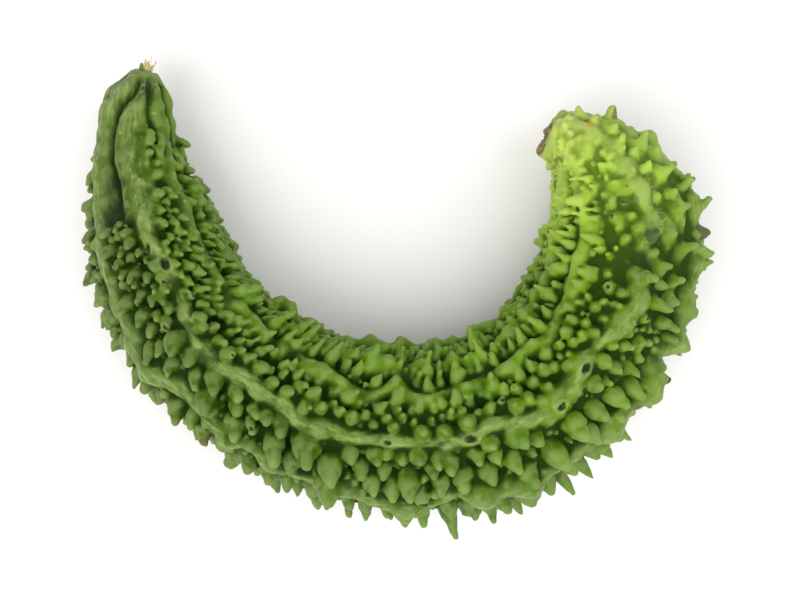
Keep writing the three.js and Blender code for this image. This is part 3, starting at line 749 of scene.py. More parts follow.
def siteFrames(rows):
    # where the warts' feet are and which ways are out, forwards and around there
    rows = np.array(rows, float)
    along, radius, slopeAlong, slopeRadius = profileAtSkin(rows[:, 0])
    point, tangent, outwards, upwards = middleLine.at(along)
    angle = np.radians(rows[:, 1])[:, None]
    spoke = outwards * np.sin(angle) + upwards * np.cos(angle)
    normal = spoke * slopeAlong[:, None] - tangent * slopeRadius[:, None]
    forwards = tangent * slopeAlong[:, None] + spoke * slopeRadius[:, None]
    raised = relief(along, radius, rows[:, 1])
    foot = point + spoke * radius[:, None] + normal * raised[:, None]
    return {"foot": foot, "normal": normal, "forwards": forwards, "along": along, "radius": radius,
            "angle": rows[:, 1], "height": rows[:, 3], "around": np.cross(normal, forwards)}


def nearestGaps(points, count):
    # mean distance from each point to its nearest few
    tree = kdtree.KDTree(len(points))
    for k, p in enumerate(points):
        tree.insert(p, k)
    tree.balance()
    return np.array([np.mean([d for _, _, d in tree.find_n(p, count + 1)][1:]) for p in points])


def buildField():
    h, pad = skinForm["gridStep"], skinForm["margin"]
    low = np.array([fruitLow[0] / mm - pad, fruitLow[1] / mm - pad, skinForm["lowest"]])
    high = np.array([fruitHigh[0] / mm + pad, fruitHigh[1] / mm + pad, fruitHigh[2] / mm + pad])
    axes = [np.arange(low[i], high[i], h, dtype=np.float32) for i in range(3)]
    x, y = np.meshgrid(axes[0], axes[1], indexing="ij")
    along, out, middle = stationsFor(x, y)
    fromProfile, overProfile = profileDistances(), reliefTable()
    field = np.full([len(axis) for axis in axes], skinForm["farOut"], np.float32)
    for k, z in enumerate(axes[2]):
        radius = np.hypot(out, z - middle)
        layer = fromProfile.at(along, radius)
        near = layer < skinForm["farOut"]
        angle = np.degrees(np.arctan2(out[near], z - middle[near]))
        layer[near] -= overProfile.at(along[near], angle)
        field[:, :, k] = np.clip(layer, -skinForm["farOut"], skinForm["farOut"])
    return axes, field


def addShape(warts, axes, middle, reach, distance, blend):
    # joins one shape into the field of warts, within reach of its middle
    h = skinForm["gridStep"]
    spans = []
    for i in range(3):
        first = max(int((middle[i] - reach - axes[i][0]) / h), 0)
        last = min(int((middle[i] + reach - axes[i][0]) / h) + 2, len(axes[i]))
        if first >= last:
            return
        spans.append(slice(first, last))
    box = tuple(spans)
    cells = np.stack(np.meshgrid(*(axes[i][box[i]] for i in range(3)), indexing="ij"), -1)
    warts[box] = smoothUnion(warts[box], distance(cells).astype(np.float32), blend)


def pointedness(along, angle):
    # 0 for the rounded sort of wart, 1 for the pointed sort
    byAngle = smoothstep(np.abs(angle), *wartBuild["pointedFrom"]) * (angle > 0)
    byWay = (smoothstep(along, *wartBuild["pointedPast"])
             * smoothstep(angle, *wartBuild["pointedTurn"]))
    return np.maximum(byAngle, byWay)


def grows(sites):
    # warts keep off the crests, and by the stem they only grow in the grooves
    nearest, away, halfGap = nearestRidges(sites["along"], sites["radius"], sites["angle"])
    keepOff = wartBuild["crestKeepOff"] * smoothstep(sites["along"], *wartBuild["keepOffGrows"])
    for k, course in fruitForm["keepOff"].items():
        keepOff = np.where(nearest == k, follow(course, sites["along"]), keepOff)
    lobes = 1 - smoothstep(sites["along"], fruitForm["lobesEnd"], fruitForm["wartsFull"])
    turn, first, last = wartBuild["innerFlank"]
    lobes = np.where(sites["angle"] < turn,
                     lobes * (1 - smoothstep(sites["along"], first, last)), lobes)
    deep = inHollow(sites["along"], sites["radius"], sites["angle"]) > wartBuild["deepHollow"]
    low, high = wartBuild["bareAngles"]
    upperOuter = (sites["angle"] > low) & (sites["angle"] < high)
    return (((away > keepOff) | (sites["along"] > wartBuild["brokenFrom"]))
            & (away / halfGap > wartBuild["lobeShare"] * lobes)
            & ~((deep | upperOuter) & (sites["along"] < wartBuild["hollowEnd"])))


def meltingAt(along, angle):
    low, high = wartBuild["meltingAngles"]
    return follow(wartBuild["melting"], along) * (low < angle < high)


def makeWart(sites, k, build, rng):
    # a wart of this root, waist, tip and height at its site, leaning as it should
    base, waist, tipRadius, height = build
    normal, forwards, around = (sites[n][k] for n in ("normal", "forwards", "around"))
    along, angle, foot = sites["along"][k], sites["angle"][k], sites["foot"][k]
    if k >= len(spineRows):
        foot = foot - normal * leaner(along, angle)
    reach = height - tipRadius
    turned = -follow(wartBuild["turned"], angle) * reach * follow(wartBuild["turnedAlong"], along)
    lean = (reach * follow(wartBuild["forwards"], along)
            + rng.uniform(-1, 1) * wartBuild["leanSpread"])
    aside = turned + rng.uniform(-1, 1) * wartBuild["sideways"]
    up, over = wartBuild["middle"]
    return {
        "root": foot - normal * base * skinForm["sink"],
        "middle": foot + normal * reach * up + forwards * lean * over + around * aside * over,
        "tip": foot + normal * reach + forwards * lean + around * aside,
        "base": base, "waist": waist, "tipRadius": tipRadius, "normal": normal,
        "blend": between((skinForm["wartBlend"], wartBuild["meltingBlend"]),
                         meltingAt(along, angle))}


def brokenRows(rng):
    # warts standing on the two ridges that break up
    first, last = skinAt(wartBuild["brokenFrom"]), skinAt(wartBuild["brokenTo"])
    rows = []
    for skin, angle, radius, _, _ in crestRows[:crestCounts[0] + crestCounts[1]]:
        if first < skin < last and rng.random() < wartBuild["brokenShare"]:
            angle += rng.uniform(*wartBuild["brokenStray"])
            rows.append((skin, angle, radius, rng.uniform(*wartBuild["brokenHeight"]), 0.0))
    return rows


def longBuild(height, rng):
    base, tipRadius = wartBuild["spineBase"], rng.uniform(*wartBuild["spineTip"])
    return base, base * wartBuild["spineWaist"], tipRadius, height


def bigBuild(along, height, rng):
    base, tipRadius = height * rng.uniform(*wartBuild["bigBase"]), rng.uniform(*wartBuild["bigTip"])
    if along > tentForm["first"]:
        base, tipRadius = base * wartBuild["inTent"][0], tipRadius * wartBuild["inTent"][1]
    return base, (base + tipRadius) / 2, tipRadius, height


def smallBuild(along, angle, height, gap, rng):
    # a wart that fills the gap to its neighbours, or nothing where it is left out
    pointed = pointedness(along, angle)
    base = gap * between(wartBuild["baseShare"], pointed) * rng.uniform(*wartBuild["baseSpread"])
    base *= follow(wartBuild["slender"], angle)
    base *= follow(wartBuild["slimmer"], along)
    waist = base * between(wartBuild["waist"], pointed)
    tipRadius = base * between(wartBuild["tip"], pointed) * rng.uniform(*wartBuild["tipSpread"])
    height = max(height * follow(wartBuild["taller"], angle),
                 base * between(wartBuild["leastHeight"], pointed))
    bulb = ((1 - smoothstep(along, *wartBuild["bulbsEnd"]))
            * (abs(angle) < wartBuild["bulbAngle"]))
    waist = between((waist, base * wartBuild["bulb"][0]), bulb)
    tipRadius = between((tipRadius, base * wartBuild["bulb"][1]), bulb)
    first, last, slim = wartBuild["innerSlimmer"]
    inner = smoothstep(along, first, last) * smoothstep(-angle, *wartBuild["innerTurn"])
    breadth = (1 - (1 - slim) * inner) * (1 - (1 - wartBuild["bulbShare"]) * bulb)
    melting = meltingAt(along, angle)
    if rng.random() < melting * wartBuild["thinned"]:
        return None
    breadth *= 1 - (1 - wartBuild["small"][0]) * melting
    height *= 1 - (1 - wartBuild["small"][1]) * melting
    return base * breadth, waist * breadth, tipRadius * breadth, height


def varied(build, along, angle, rng):
    # the same wart a little larger or smaller, and shorter towards the blossom
    base, waist, tipRadius, height = build
    size = 1 + rng.uniform(-1, 1) * follow(wartBuild["uneven"], along)
    if abs(angle) > wartBuild["outlineFrom"]:
        size = min(size, 1)
    short = follow(wartBuild["shorter"], along)
    kept = wartBuild["kept"]
    end = kept["endShare"] * smoothstep(along, *kept["end"]) * (angle > kept["endAngle"])
    whole = (1 - smoothstep(abs(angle), *kept["angles"])) * (1 - end)
    height *= size * (short + (1 - short) * whole)
    if abs(angle) < wartBuild["outlineFrom"]:
        height *= follow(wartBuild["longer"], along)
    girth = 1 + (size - 1) * wartBuild["girthShare"]
    return base * girth, waist * girth, tipRadius, height


def wartShapes(rng):
    sites = siteFrames(spineRows + bigRows + list(map(tuple, wartRows)) + brokenRows(rng))
    crests = siteFrames(crestRows)["foot"]
    gaps = nearestGaps(np.vstack([sites["foot"], crests]), 4)
    keep = grows(sites)
    warts = []
    for k in range(len(sites["foot"])):
        along, angle, height = (sites[n][k] for n in ("along", "angle", "height"))
        if k < len(spineRows):
            warts.append(makeWart(sites, k, longBuild(height, rng), rng))
            continue
        if k < len(spineRows) + len(bigRows):
            build = bigBuild(along, height, rng)
        else:
            build = smallBuild(along, angle, height, gaps[k], rng) if keep[k] else None
        if build:
            warts.append(makeWart(sites, k, varied(build, along, angle, rng), rng))
    return warts


def beadShapes(warts, rng):
    # small beads in the gaps that the warts leave
    tree = kdtree.KDTree(len(warts))
    for k, wart in enumerate(warts):
        tree.insert(wart["root"], k)
    tree.balance()
    count = beadForm["tries"]
    rows = np.zeros((count, 5))
    rows[:, 0] = rng.uniform(skinAt(beadForm["first"]), skinAt(beadForm["last"]), count)
    rows[:, 1] = rng.uniform(-180, 180, count)
    sites = siteFrames(rows)
    away = nearestRidges(sites["along"], sites["radius"], sites["angle"])[1]
    keep = grows(sites) & (away > beadForm["keepOff"])
    low, high = beadForm["fewAngles"]
    webbed = ((sites["along"] > beadForm["fewFrom"]) & (sites["angle"] > low)
              & (sites["angle"] < high))
    keep &= ~webbed | (rng.random(count) < beadForm["few"])
    beads, cells = [], {}
    for k in np.flatnonzero(keep):
        foot = sites["foot"][k]
        room = min(gap - warts[n]["base"] for _, n, gap in tree.find_n(foot, 4))
        home = tuple((foot // beadForm["cell"]).astype(int))
        for step in itertools.product((-1, 0, 1), repeat=3):
            for other in cells.get(tuple(h + s for h, s in zip(home, step)), ()):
                room = min(room, np.linalg.norm(other["root"] - foot) - other["base"])
        if room < beadForm["least"]:
            continue
        size = min(room * beadForm["fill"], follow(beadForm["most"], sites["angle"][k]))
        rise = (sites["normal"][k] * size * rng.uniform(*beadForm["riseSpread"])
                * follow(beadForm["rise"], sites["angle"][k]))
        bead = {"root": foot - rise * beadForm["sunk"], "middle": foot + rise * 0.5,
                "tip": foot + rise, "base": size, "waist": size * beadForm["waist"],
                "tipRadius": size * beadForm["tip"],
                "normal": sites["normal"][k], "blend": skinForm["wartBlend"]}
        beads.append(bead)
        cells.setdefault(home, []).append(bead)
    return beads


def pitPlaces(warts, rng):
    # where the pits are cut: middle, radius, direction
    rows = [(skinAt(along), angle, 0, 0, 0) for along, angle, rise, radius in pits]
    sites = siteFrames(rows)
    tips = np.array([wart["tip"] + wart["normal"] * wart["tipRadius"] for wart in warts])
    places = []
    for k, (along, angle, rise, radius) in enumerate(pits):
        if rise > 0:
            middle = sites["foot"][k] + sites["normal"][k] * rise
        else:
            gaps = np.linalg.norm(tips - sites["foot"][k] - sites["normal"][k] * 3, axis=1)
            middle = tips[np.argmin(gaps)]
        places.append((middle, radius * pitForm["size"], sites["normal"][k], sites["forwards"][k]))
    for wart, tip in zip(warts, tips):
        if rng.random() < pitForm["ownShare"] and wart["base"] > pitForm["ownFrom"]:
            places.append((tip, rng.uniform(*pitForm["ownRadius"]), wart["normal"], wart["normal"]))
    return places


def pitDistance(rel, radius, far):
    # distance from a pit's middle, out of its radius; pits are drawn out along the fruit
    drawn = far ** 2 * (1 - 1 / pitForm["along"] ** 2)
    return np.sqrt(np.maximum((rel ** 2).sum(-1) - drawn, 0)) / radius


def unevenness(axes):
    # soft random waves through the whole block of the field
    rng = np.random.default_rng(wartForm["seed"] + 1)
    total = np.zeros([len(axis) for axis in axes], np.float32)
    for size, high in waves:
        swells = rng.normal(0, 1, [int((axis[-1] - axis[0]) / size) + 3 for axis in axes])
        for i, axis in enumerate(axes):
            place = (axis - axis[0]) / size
            k = place.astype(int)
            t = (place - k).reshape([-1 if j == i else 1 for j in range(3)])
            t = t * t * (3 - 2 * t)
            swells = np.take(swells, k, i) * (1 - t) + np.take(swells, k + 1, i) * t
            swells = swells.astype(np.float32)
        total += swells * high
    return total


def carve(field, axes, middle, radius, forwards):
    # cuts one pit out of the field
    h = skinForm["gridStep"]
    box = tuple(slice(max(int((middle[i] - radius * 2 - axes[i][0]) / h), 0),
                      int((middle[i] + radius * 2 - axes[i][0]) / h) + 2) for i in range(3))
    cells = np.stack(np.meshgrid(*(axes[i][box[i]] for i in range(3)), indexing="ij"), -1)
    rel = cells - middle
    hole = (pitDistance(rel, radius, rel @ forwards) - 1) * radius
    field[box] = -smoothUnion(-field[box], hole, pitForm["edge"])


def addWarts(field, axes):
    rng = np.random.default_rng(wartForm["seed"])
    shapes = wartShapes(rng)
    beads = beadShapes(shapes, rng)
    places = pitPlaces(shapes, rng)
    print(len(shapes), "warts and long points,", len(beads), "beads between them,",
          len(places), "pits")
    warts = np.full(field.shape, skinForm["farOut"], np.float32)
    for wart in shapes + beads:
        reach = np.linalg.norm(wart["tip"] - wart["root"]) / 2 + wart["base"] + 1.5
        addShape(warts, axes, (wart["root"] + wart["tip"]) / 2, reach,
                 lambda cells: wartDistance(cells, wart), wart["blend"])
    field = smoothUnion(field, warts, skinForm["blend"]) + unevenness(axes)
    for middle, radius, normal, forwards in places:
        carve(field, axes, middle - normal * radius * (1 - pitForm["depth"]), radius, forwards)
    return field, shapes + beads, places


def meshFromField(field, axes):
    grid = openvdb.FloatGrid(skinForm["farOut"])
    floorCut = -axes[2][None, None, :]
    grid.copyFromArray(np.ascontiguousarray(np.maximum(field, floorCut)))
    points, quads = grid.convertToQuads(0.0)
    start = np.array([axis[0] for axis in axes])
    points = points * skinForm["gridStep"] + start
    print("skin net has", len(points), "points and", len(quads), "four-sided faces")
    mesh = bpy.data.meshes.new("gourdSkin")
    mesh.from_pydata((points * mm).tolist(), [], quads.tolist())
    mesh.update()
    return mesh


def dropCrumbs(mesh):
    # keeps the one connected skin, without the specks that float off it or under it
    work = bmesh.new()
    work.from_mesh(mesh)
    left, biggest = set(work.verts), set()
    while left:
        rim, island = [left.pop()], set()
        while rim:
            vert = rim.pop()
            island.add(vert)
            for edge in vert.link_edges:
                other = edge.other_vert(vert)
                if other in left:
                    left.discard(other)
                    rim.append(other)
        biggest = max(biggest, island, key=len)
    crumbs = [vert for vert in work.verts if vert not in biggest]
    bmesh.ops.delete(work, geom=crumbs, context="VERTS")
    work.to_mesh(mesh)
    work.free()


def thinned(mesh, triangles):
    # the same form in fewer triangles
    piece = bpy.data.objects.new(mesh.name, mesh)
    bpy.context.scene.collection.objects.link(piece)
    thinner = piece.modifiers.new("thinner", "DECIMATE")
    thinner.ratio = triangles / (2 * len(mesh.polygons))
    thinner.use_collapse_triangulate = True
    evaluated = piece.evaluated_get(bpy.context.evaluated_depsgraph_get())
    result = bpy.data.meshes.new_from_object(evaluated)
    piece.modifiers.clear()
    piece.data = result
    result.name = mesh.name
    bpy.data.meshes.remove(mesh)
    dropCrumbs(result)
    result.shade_smooth()
    return piece


def smoothedPoints(mesh, points, rounds):
    # the points after a few rounds of settling between their neighbours
    edges = np.empty(len(mesh.edges) * 2, np.int32)
    mesh.edges.foreach_get("vertices", edges)
    a, b = edges.reshape(-1, 2).T
    count = np.bincount(a, minlength=len(points)) + np.bincount(b, minlength=len(points))
    for _ in range(rounds):
        total = np.stack([np.bincount(a, points[b, i], len(points))
                          + np.bincount(b, points[a, i], len(points)) for i in range(3)], -1)
        points = points * 0.4 + total / count[:, None] * 0.6
    return points


def meshPoints(mesh):
    # the skin's points in millimetres, and their normals
    points = np.empty(len(mesh.vertices) * 3, np.float32)
    mesh.vertices.foreach_get("co", points)
    normals = np.empty(len(mesh.vertices) * 3, np.float32)
    mesh.vertex_normals.foreach_get("vector", normals)
    return points.reshape(-1, 3).astype(float) / mm, normals.reshape(-1, 3).astype(float)


def setValues(mesh, name, values):
    layer = mesh.attributes.new(name, "FLOAT", "POINT")
    layer.data.foreach_set("value", values.astype(np.float32))


axes, field = buildField()
print("flesh field ready")
field, warts, pitsCut = addWarts(field, axes)
print("warts joined")
fruit = thinned(meshFromField(field, axes), skinForm["triangles"])
fruit.name = "gourd"
print("skin has", len(fruit.data.polygons), "triangles")


# ---- measures on the skin that its colour and gloss follow

# dry and scarred places, and painted shade near the stem: kind, way along, angle, radius
marks = [
    ("orange", 281, 18, 1.2), ("brown", 277, 58, 2.2), ("brown", 262, -3, 0.5),
    ("brown", 273.6, 34.5, 0.7), ("grey", 248, 10, 1.8), ("grey", 193, 58, 3.0),
    ("shade", 43, 27, 4.0), ("shade", 35, 25, 3.4), ("shade", 6, -24, 3.0),
    ("grey", 250, 66, 2.4), ("grey", 217, 78, 2.4), ("grey", 209, 60, 1.6),
    ("brown", 104, 56, 1.2), ("brown", 213, 66, 1.4), ("membrane", 259.4, 13, 4.2),
    ("membrane", 267, 6, 3.0), ("membrane", 252, 20, 2.6), ("brown", 66.5, -13, 0.8),
]


def nearestTips(points, warts):
    # for each point: how far the nearest tip is, which wart it is on
    tree = kdtree.KDTree(len(warts))
    for k, wart in enumerate(warts):
        tree.insert(wart["tip"], k)
    tree.balance()
    found = [tree.find(p) for p in points]
    return np.array([f[2] for f in found]), np.array([f[1] for f in found])


measureForm = {
    "seed": 7,
    "fine": (4, 0.25),  # rounds of smoothing, and the height over it that counts as 1
    "broad": (40, 1.0),
    "ridge": 3,
    "wartFree": 0.9,  # the ridge is bare this far from a wart, out of its root
    "tip": (1.6, 1.25),
    "pitReach": (1.6, 2.2),
    "rim": (1.12, 0.08, 0.3),  # out of the pit's radius, and how broad it is
    "streaks": 0.28,  # how much shorter a way along counts than one around
    "markEdge": (0.5, 1.5),
}


def measurePits(points, pitsCut):
    # 1 and more in the pits, and a ring round each
    near, far = measureForm["pitReach"]
    ring, sharp, soft = measureForm["rim"]
    hole, rim = np.zeros(len(points)), np.zeros(len(points))
    for place, size, normal, forwards in pitsCut:
        deep = (points - place) @ normal
        flat = points - place - deep[:, None] * normal
        away = pitDistance(flat, size, flat @ forwards if abs(normal @ forwards) < 0.9 else 0)
        close = smoothstep(-np.abs(deep), -size * far, -size * near)
        hole = np.maximum(hole, (1.5 - np.clip(away, 0.5, 1.5)) * close)
        rim = np.maximum(rim, (1 - smoothstep(np.abs(away - ring), sharp, soft)) * close
                         * min(size, 1))
    return hole, rim


def measureSkin(mesh, warts, pitsCut):
    points, normals = meshPoints(mesh)
    along, out, middle = stationsFor(points[None, :, 0], points[None, :, 1])
    along, out, rise = along[0], out[0], points[:, 2] - middle[0]
    radius = np.hypot(out, rise)
    angle = np.degrees(np.arctan2(out, rise))
    setValues(mesh, "along", along / middleLine.length)
    setValues(mesh, "outside", np.sin(np.radians(angle)))
    for name, (rounds, unit) in (("edge", measureForm["fine"]), ("swell", measureForm["broad"])):
        proud = ((points - smoothedPoints(mesh, points, rounds)) * normals).sum(-1)
        setValues(mesh, name, proud / unit)
    ridgeAway = nearestRidges(np.clip(along, 0, 290), radius, angle)[1]
    gap, owner = nearestTips(points, warts)
    tones = np.random.default_rng(measureForm["seed"]).random(len(warts))
    tips, roots = (np.array([wart[name] for wart in warts])[owner]
                   for name in ("tipRadius", "base"))
    setValues(mesh, "ridge", np.exp(-(ridgeAway / measureForm["ridge"]) ** 2)
              * (gap > roots * measureForm["wartFree"]))
    start, slope = measureForm["tip"]
    setValues(mesh, "tip", np.clip(start - gap / (tips * slope), 0, 1))
    setValues(mesh, "tone", tones[owner])
    for name, amount in zip(("pit", "rim"), measurePits(points, pitsCut)):
        setValues(mesh, name, amount)
    flow = mesh.attributes.new("flow", "FLOAT_VECTOR", "POINT")
    ways = np.stack([along * measureForm["streaks"], np.radians(angle) * radius, radius], -1)
    flow.data.foreach_set("vector", ways.astype(np.float32).ravel() * mm)
    for kind in ("orange", "brown", "grey", "shade", "membrane"):
        amount = np.zeros(len(points))
        for name, markAlong, markAngle, size in marks:
            if name == kind:
                around = np.radians(wrapDegrees(angle - markAngle)) * radius
                away = np.hypot(along - markAlong, around) / size
                amount = np.maximum(amount, 1 - smoothstep(away, *measureForm["markEdge"]))
        setValues(mesh, kind, amount)
    print("skin measured")


measureSkin(fruit.data, warts, pitsCut)


# ---- materials

def grainGroup():
    # fine grain shared by the rind, the dry fibres and the paper
    group = bpy.data.node_groups.new("fineGrain", "ShaderNodeTree")
    for name, default in (("Scale", 900.0), ("Low", 0.35), ("High", 0.65)):
        socket = group.interface.new_socket(name, in_out="INPUT", socket_type="NodeSocketFloat")
        socket.default_value = default
    for name in ("Height", "Mask"):
        group.interface.new_socket(name, in_out="OUTPUT", socket_type="NodeSocketFloat")
    inner = group.nodes
    given, sent = inner.new("NodeGroupInput"), inner.new("NodeGroupOutput")
    place = inner.new("ShaderNodeTexCoord")
    texture = inner.new("ShaderNodeTexNoise")
    texture.inputs["Detail"].default_value = 4.0
    spread = inner.new("ShaderNodeMapRange")
    spread.interpolation_type = "SMOOTHSTEP"
    group.links.new(place.outputs["Object"], texture.inputs["Vector"])
    group.links.new(given.outputs["Scale"], texture.inputs["Scale"])
    group.links.new(texture.outputs["Fac"], spread.inputs["Value"])
    group.links.new(given.outputs["Low"], spread.inputs["From Min"])
    group.links.new(given.outputs["High"], spread.inputs["From Max"])
    group.links.new(texture.outputs["Fac"], sent.inputs["Height"])
    group.links.new(spread.outputs["Result"], sent.inputs["Mask"])
    return group


fineGrain = grainGroup()


class Surface:
    # a new material, with short ways to add nodes to it
    def __init__(self, name):
        self.material = bpy.data.materials.new(name)
        self.material.use_nodes = True
        self.nodes = self.material.node_tree.nodes
        self.shader = self.nodes["Principled BSDF"]

    def fill(self, socket, source):
        # a link from a socket, a colour or a number
        if isinstance(source, bpy.types.NodeSocket):
            self.material.node_tree.links.new(source, socket)
        else:
            socket.default_value = (*source, 1) if isinstance(source, tuple) else source

    def add(self, kind, **values):
        node = self.nodes.new(kind)
        for name, number in values.items():
            self.fill(node.inputs[name], number)
        return node

    def place(self):
        return self.nodes.new("ShaderNodeTexCoord").outputs["Object"]

    def measure(self, name, output="Fac"):
        node = self.nodes.new("ShaderNodeAttribute")
        node.attribute_name = name
        return node.outputs[output]

    def ramp(self, source, stops):
        node = self.add("ShaderNodeValToRGB", Fac=source)
        node.color_ramp.interpolation = "EASE"
        elements = node.color_ramp.elements
        while len(elements) < len(stops):
            elements.new(0.5)
        for element, (position, colour) in zip(elements, stops):
            element.position = position
            element.color = (*colour, 1)
        return node.outputs["Color"]

    def mapped(self, source, low, high, outLow=0.0, outHigh=1.0):
        node = self.add("ShaderNodeMapRange", **{
            "Value": source, "From Min": low, "From Max": high,
            "To Min": outLow, "To Max": outHigh})
        node.interpolation_type = "SMOOTHSTEP"
        return node.outputs["Result"]

    def mixed(self, amount, first, second, blend="MIX"):
        node = self.nodes.new("ShaderNodeMix")
        node.data_type = "RGBA"
        node.blend_type = blend
        colours = [socket for socket in node.inputs if socket.type == "RGBA"]
        for socket, source in zip((node.inputs[0], *colours), (amount, first, second)):
            self.fill(socket, source)
        return [socket for socket in node.outputs if socket.type == "RGBA"][0]

    def combined(self, kind, a, b):
        node = self.nodes.new("ShaderNodeMath")
        node.operation = kind
        self.fill(node.inputs[0], a)
        self.fill(node.inputs[1], b)
        return node.outputs[0]

    def times(self, a, b):
        return self.combined("MULTIPLY", a, b)

    def plus(self, a, b):
        return self.combined("ADD", a, b)

    def noise(self, scale, detail=3.0, rough=0.5, vector=None):
        node = self.add("ShaderNodeTexNoise", Vector=vector or self.place(), Scale=scale,
                        Detail=detail, Roughness=rough)
        return node.outputs["Fac"]

    def grain(self, output, scale, low, high):
        node = self.nodes.new("ShaderNodeGroup")
        node.node_tree = fineGrain
        for name, number in (("Scale", scale), ("Low", low), ("High", high)):
            node.inputs[name].default_value = number
        return node.outputs[output]

    def layer(self, colour, strength, amount, blend="MIX"):
        # one more colour over the rest where the amount says so
        if strength != 1:
            amount = self.times(amount, strength)
        self.colour = self.mixed(amount, self.colour, colour, blend)

    def finish(self, piece, colour, rough, bump, settings=()):
        # the shader's own sockets, a grain in relief, and the piece that it covers
        self.fill(self.shader.inputs["Base Color"], colour)
        self.fill(self.shader.inputs["Roughness"], rough)
        for name, number in dict(settings).items():
            self.shader.inputs[name].default_value = number
        relief = self.add("ShaderNodeBump", Strength=bump["strength"], Distance=bump["distance"],
                          Height=self.grain("Height", *bump["grain"]))
        self.fill(self.shader.inputs["Normal"], relief.outputs["Normal"])
        piece.materials.clear()
        piece.materials.append(self.material)


# colours with how strongly each covers what lies under it
rindForm = {
    # the flesh's colour along the fruit, from the stem to the blossom end
    "flesh": [(0.0, (0.060, 0.100, 0.010)), (0.16, (0.050, 0.090, 0.005)),
              (0.34, (0.048, 0.100, 0.0015)), (0.55, (0.060, 0.130, 0.0005)),
              (0.76, (0.108, 0.208, 0.002)), (0.86, (0.185, 0.315, 0.010)),
              (0.92, (0.300, 0.460, 0.040)), (1.0, (0.470, 0.575, 0.115))],
    # brighter on the inner side: partly the skin's own colour, partly painted bounce light from the
    # floor
    "innerSideAndBounce": ((0.125, 0.250, 0.001), 0.5),
    "innerEndAndBounce": ((0.380, 0.530, 0.060), 0.4),
    "upperArm": ((0.070, 0.150, 0.003), 0.55),
    "dull": ((0.115, 0.170, 0.038), 0.3),
    "patch": ((0.030, 0.076, 0.002), 0.35),
    "tone": ((1.5, 1.45, 1.3), 0.3),  # some warts are lighter than others
    # pale wax and streaks on the ridges: real bloom and streaks, partly painted sheen on the crests
    "waxAndSheen": ((0.115, 0.170, 0.038), 0.45),
    "streakAndSheen": ((0.240, 0.325, 0.095), 0.75),
    "fleck": ((0.300, 0.380, 0.150), 0.6),
    # paler on the proud edges: real bloom, partly painted highlight
    "bloomAndHighlight": ((0.250, 0.330, 0.120), 0.26),
    # painted shade down the slopes and in the crevices
    "slope": ((0.42, 0.50, 0.30), 0.9),
    "creviceShade": ((0.006, 0.022, 0.0004), 0.8),
    # pale tips on some warts, partly painted highlight
    "tipPaleAndHighlight": ((0.210, 0.290, 0.060), 0.4),
    "rim": ((0.190, 0.260, 0.080), 0.45),
    "pitGrey": ((0.050, 0.066, 0.020), 0.7),
    "pit": ((0.008, 0.012, 0.006), 0.9),
    "shade": ((0.018, 0.028, 0.010), 0.85),
    "grey": ((0.040, 0.052, 0.028), 0.75),
    "brown": ((0.110, 0.075, 0.028), 0.75),
    "orange": ((0.380, 0.230, 0.025), 0.75),
    "membrane": ((0.270, 0.350, 0.100), 0.75),
    "scar": ((0.180, 0.115, 0.045), 0.9),
    "scarDark": ((0.035, 0.022, 0.010), 0.8),
    # how many times a metre each pattern repeats
    "patches": 90,
    "waxAndSheenScale": 160,
    "veinScale": 380,
    "speckles": 420,
    "flecks": 520,
    "streaks": 720,
    "pitGrain": 1500,
    "roughness": (0.36, 0.5),  # bare and waxy
    "shader": {"Specular IOR Level": 0.15, "Subsurface Weight": 0.1,
               "Subsurface Radius": (0.5, 1.0, 0.1), "Subsurface Scale": 0.002},
    "bump": {"strength": 0.35, "distance": 0.0004, "grain": (900, 0.2, 0.8)},
}


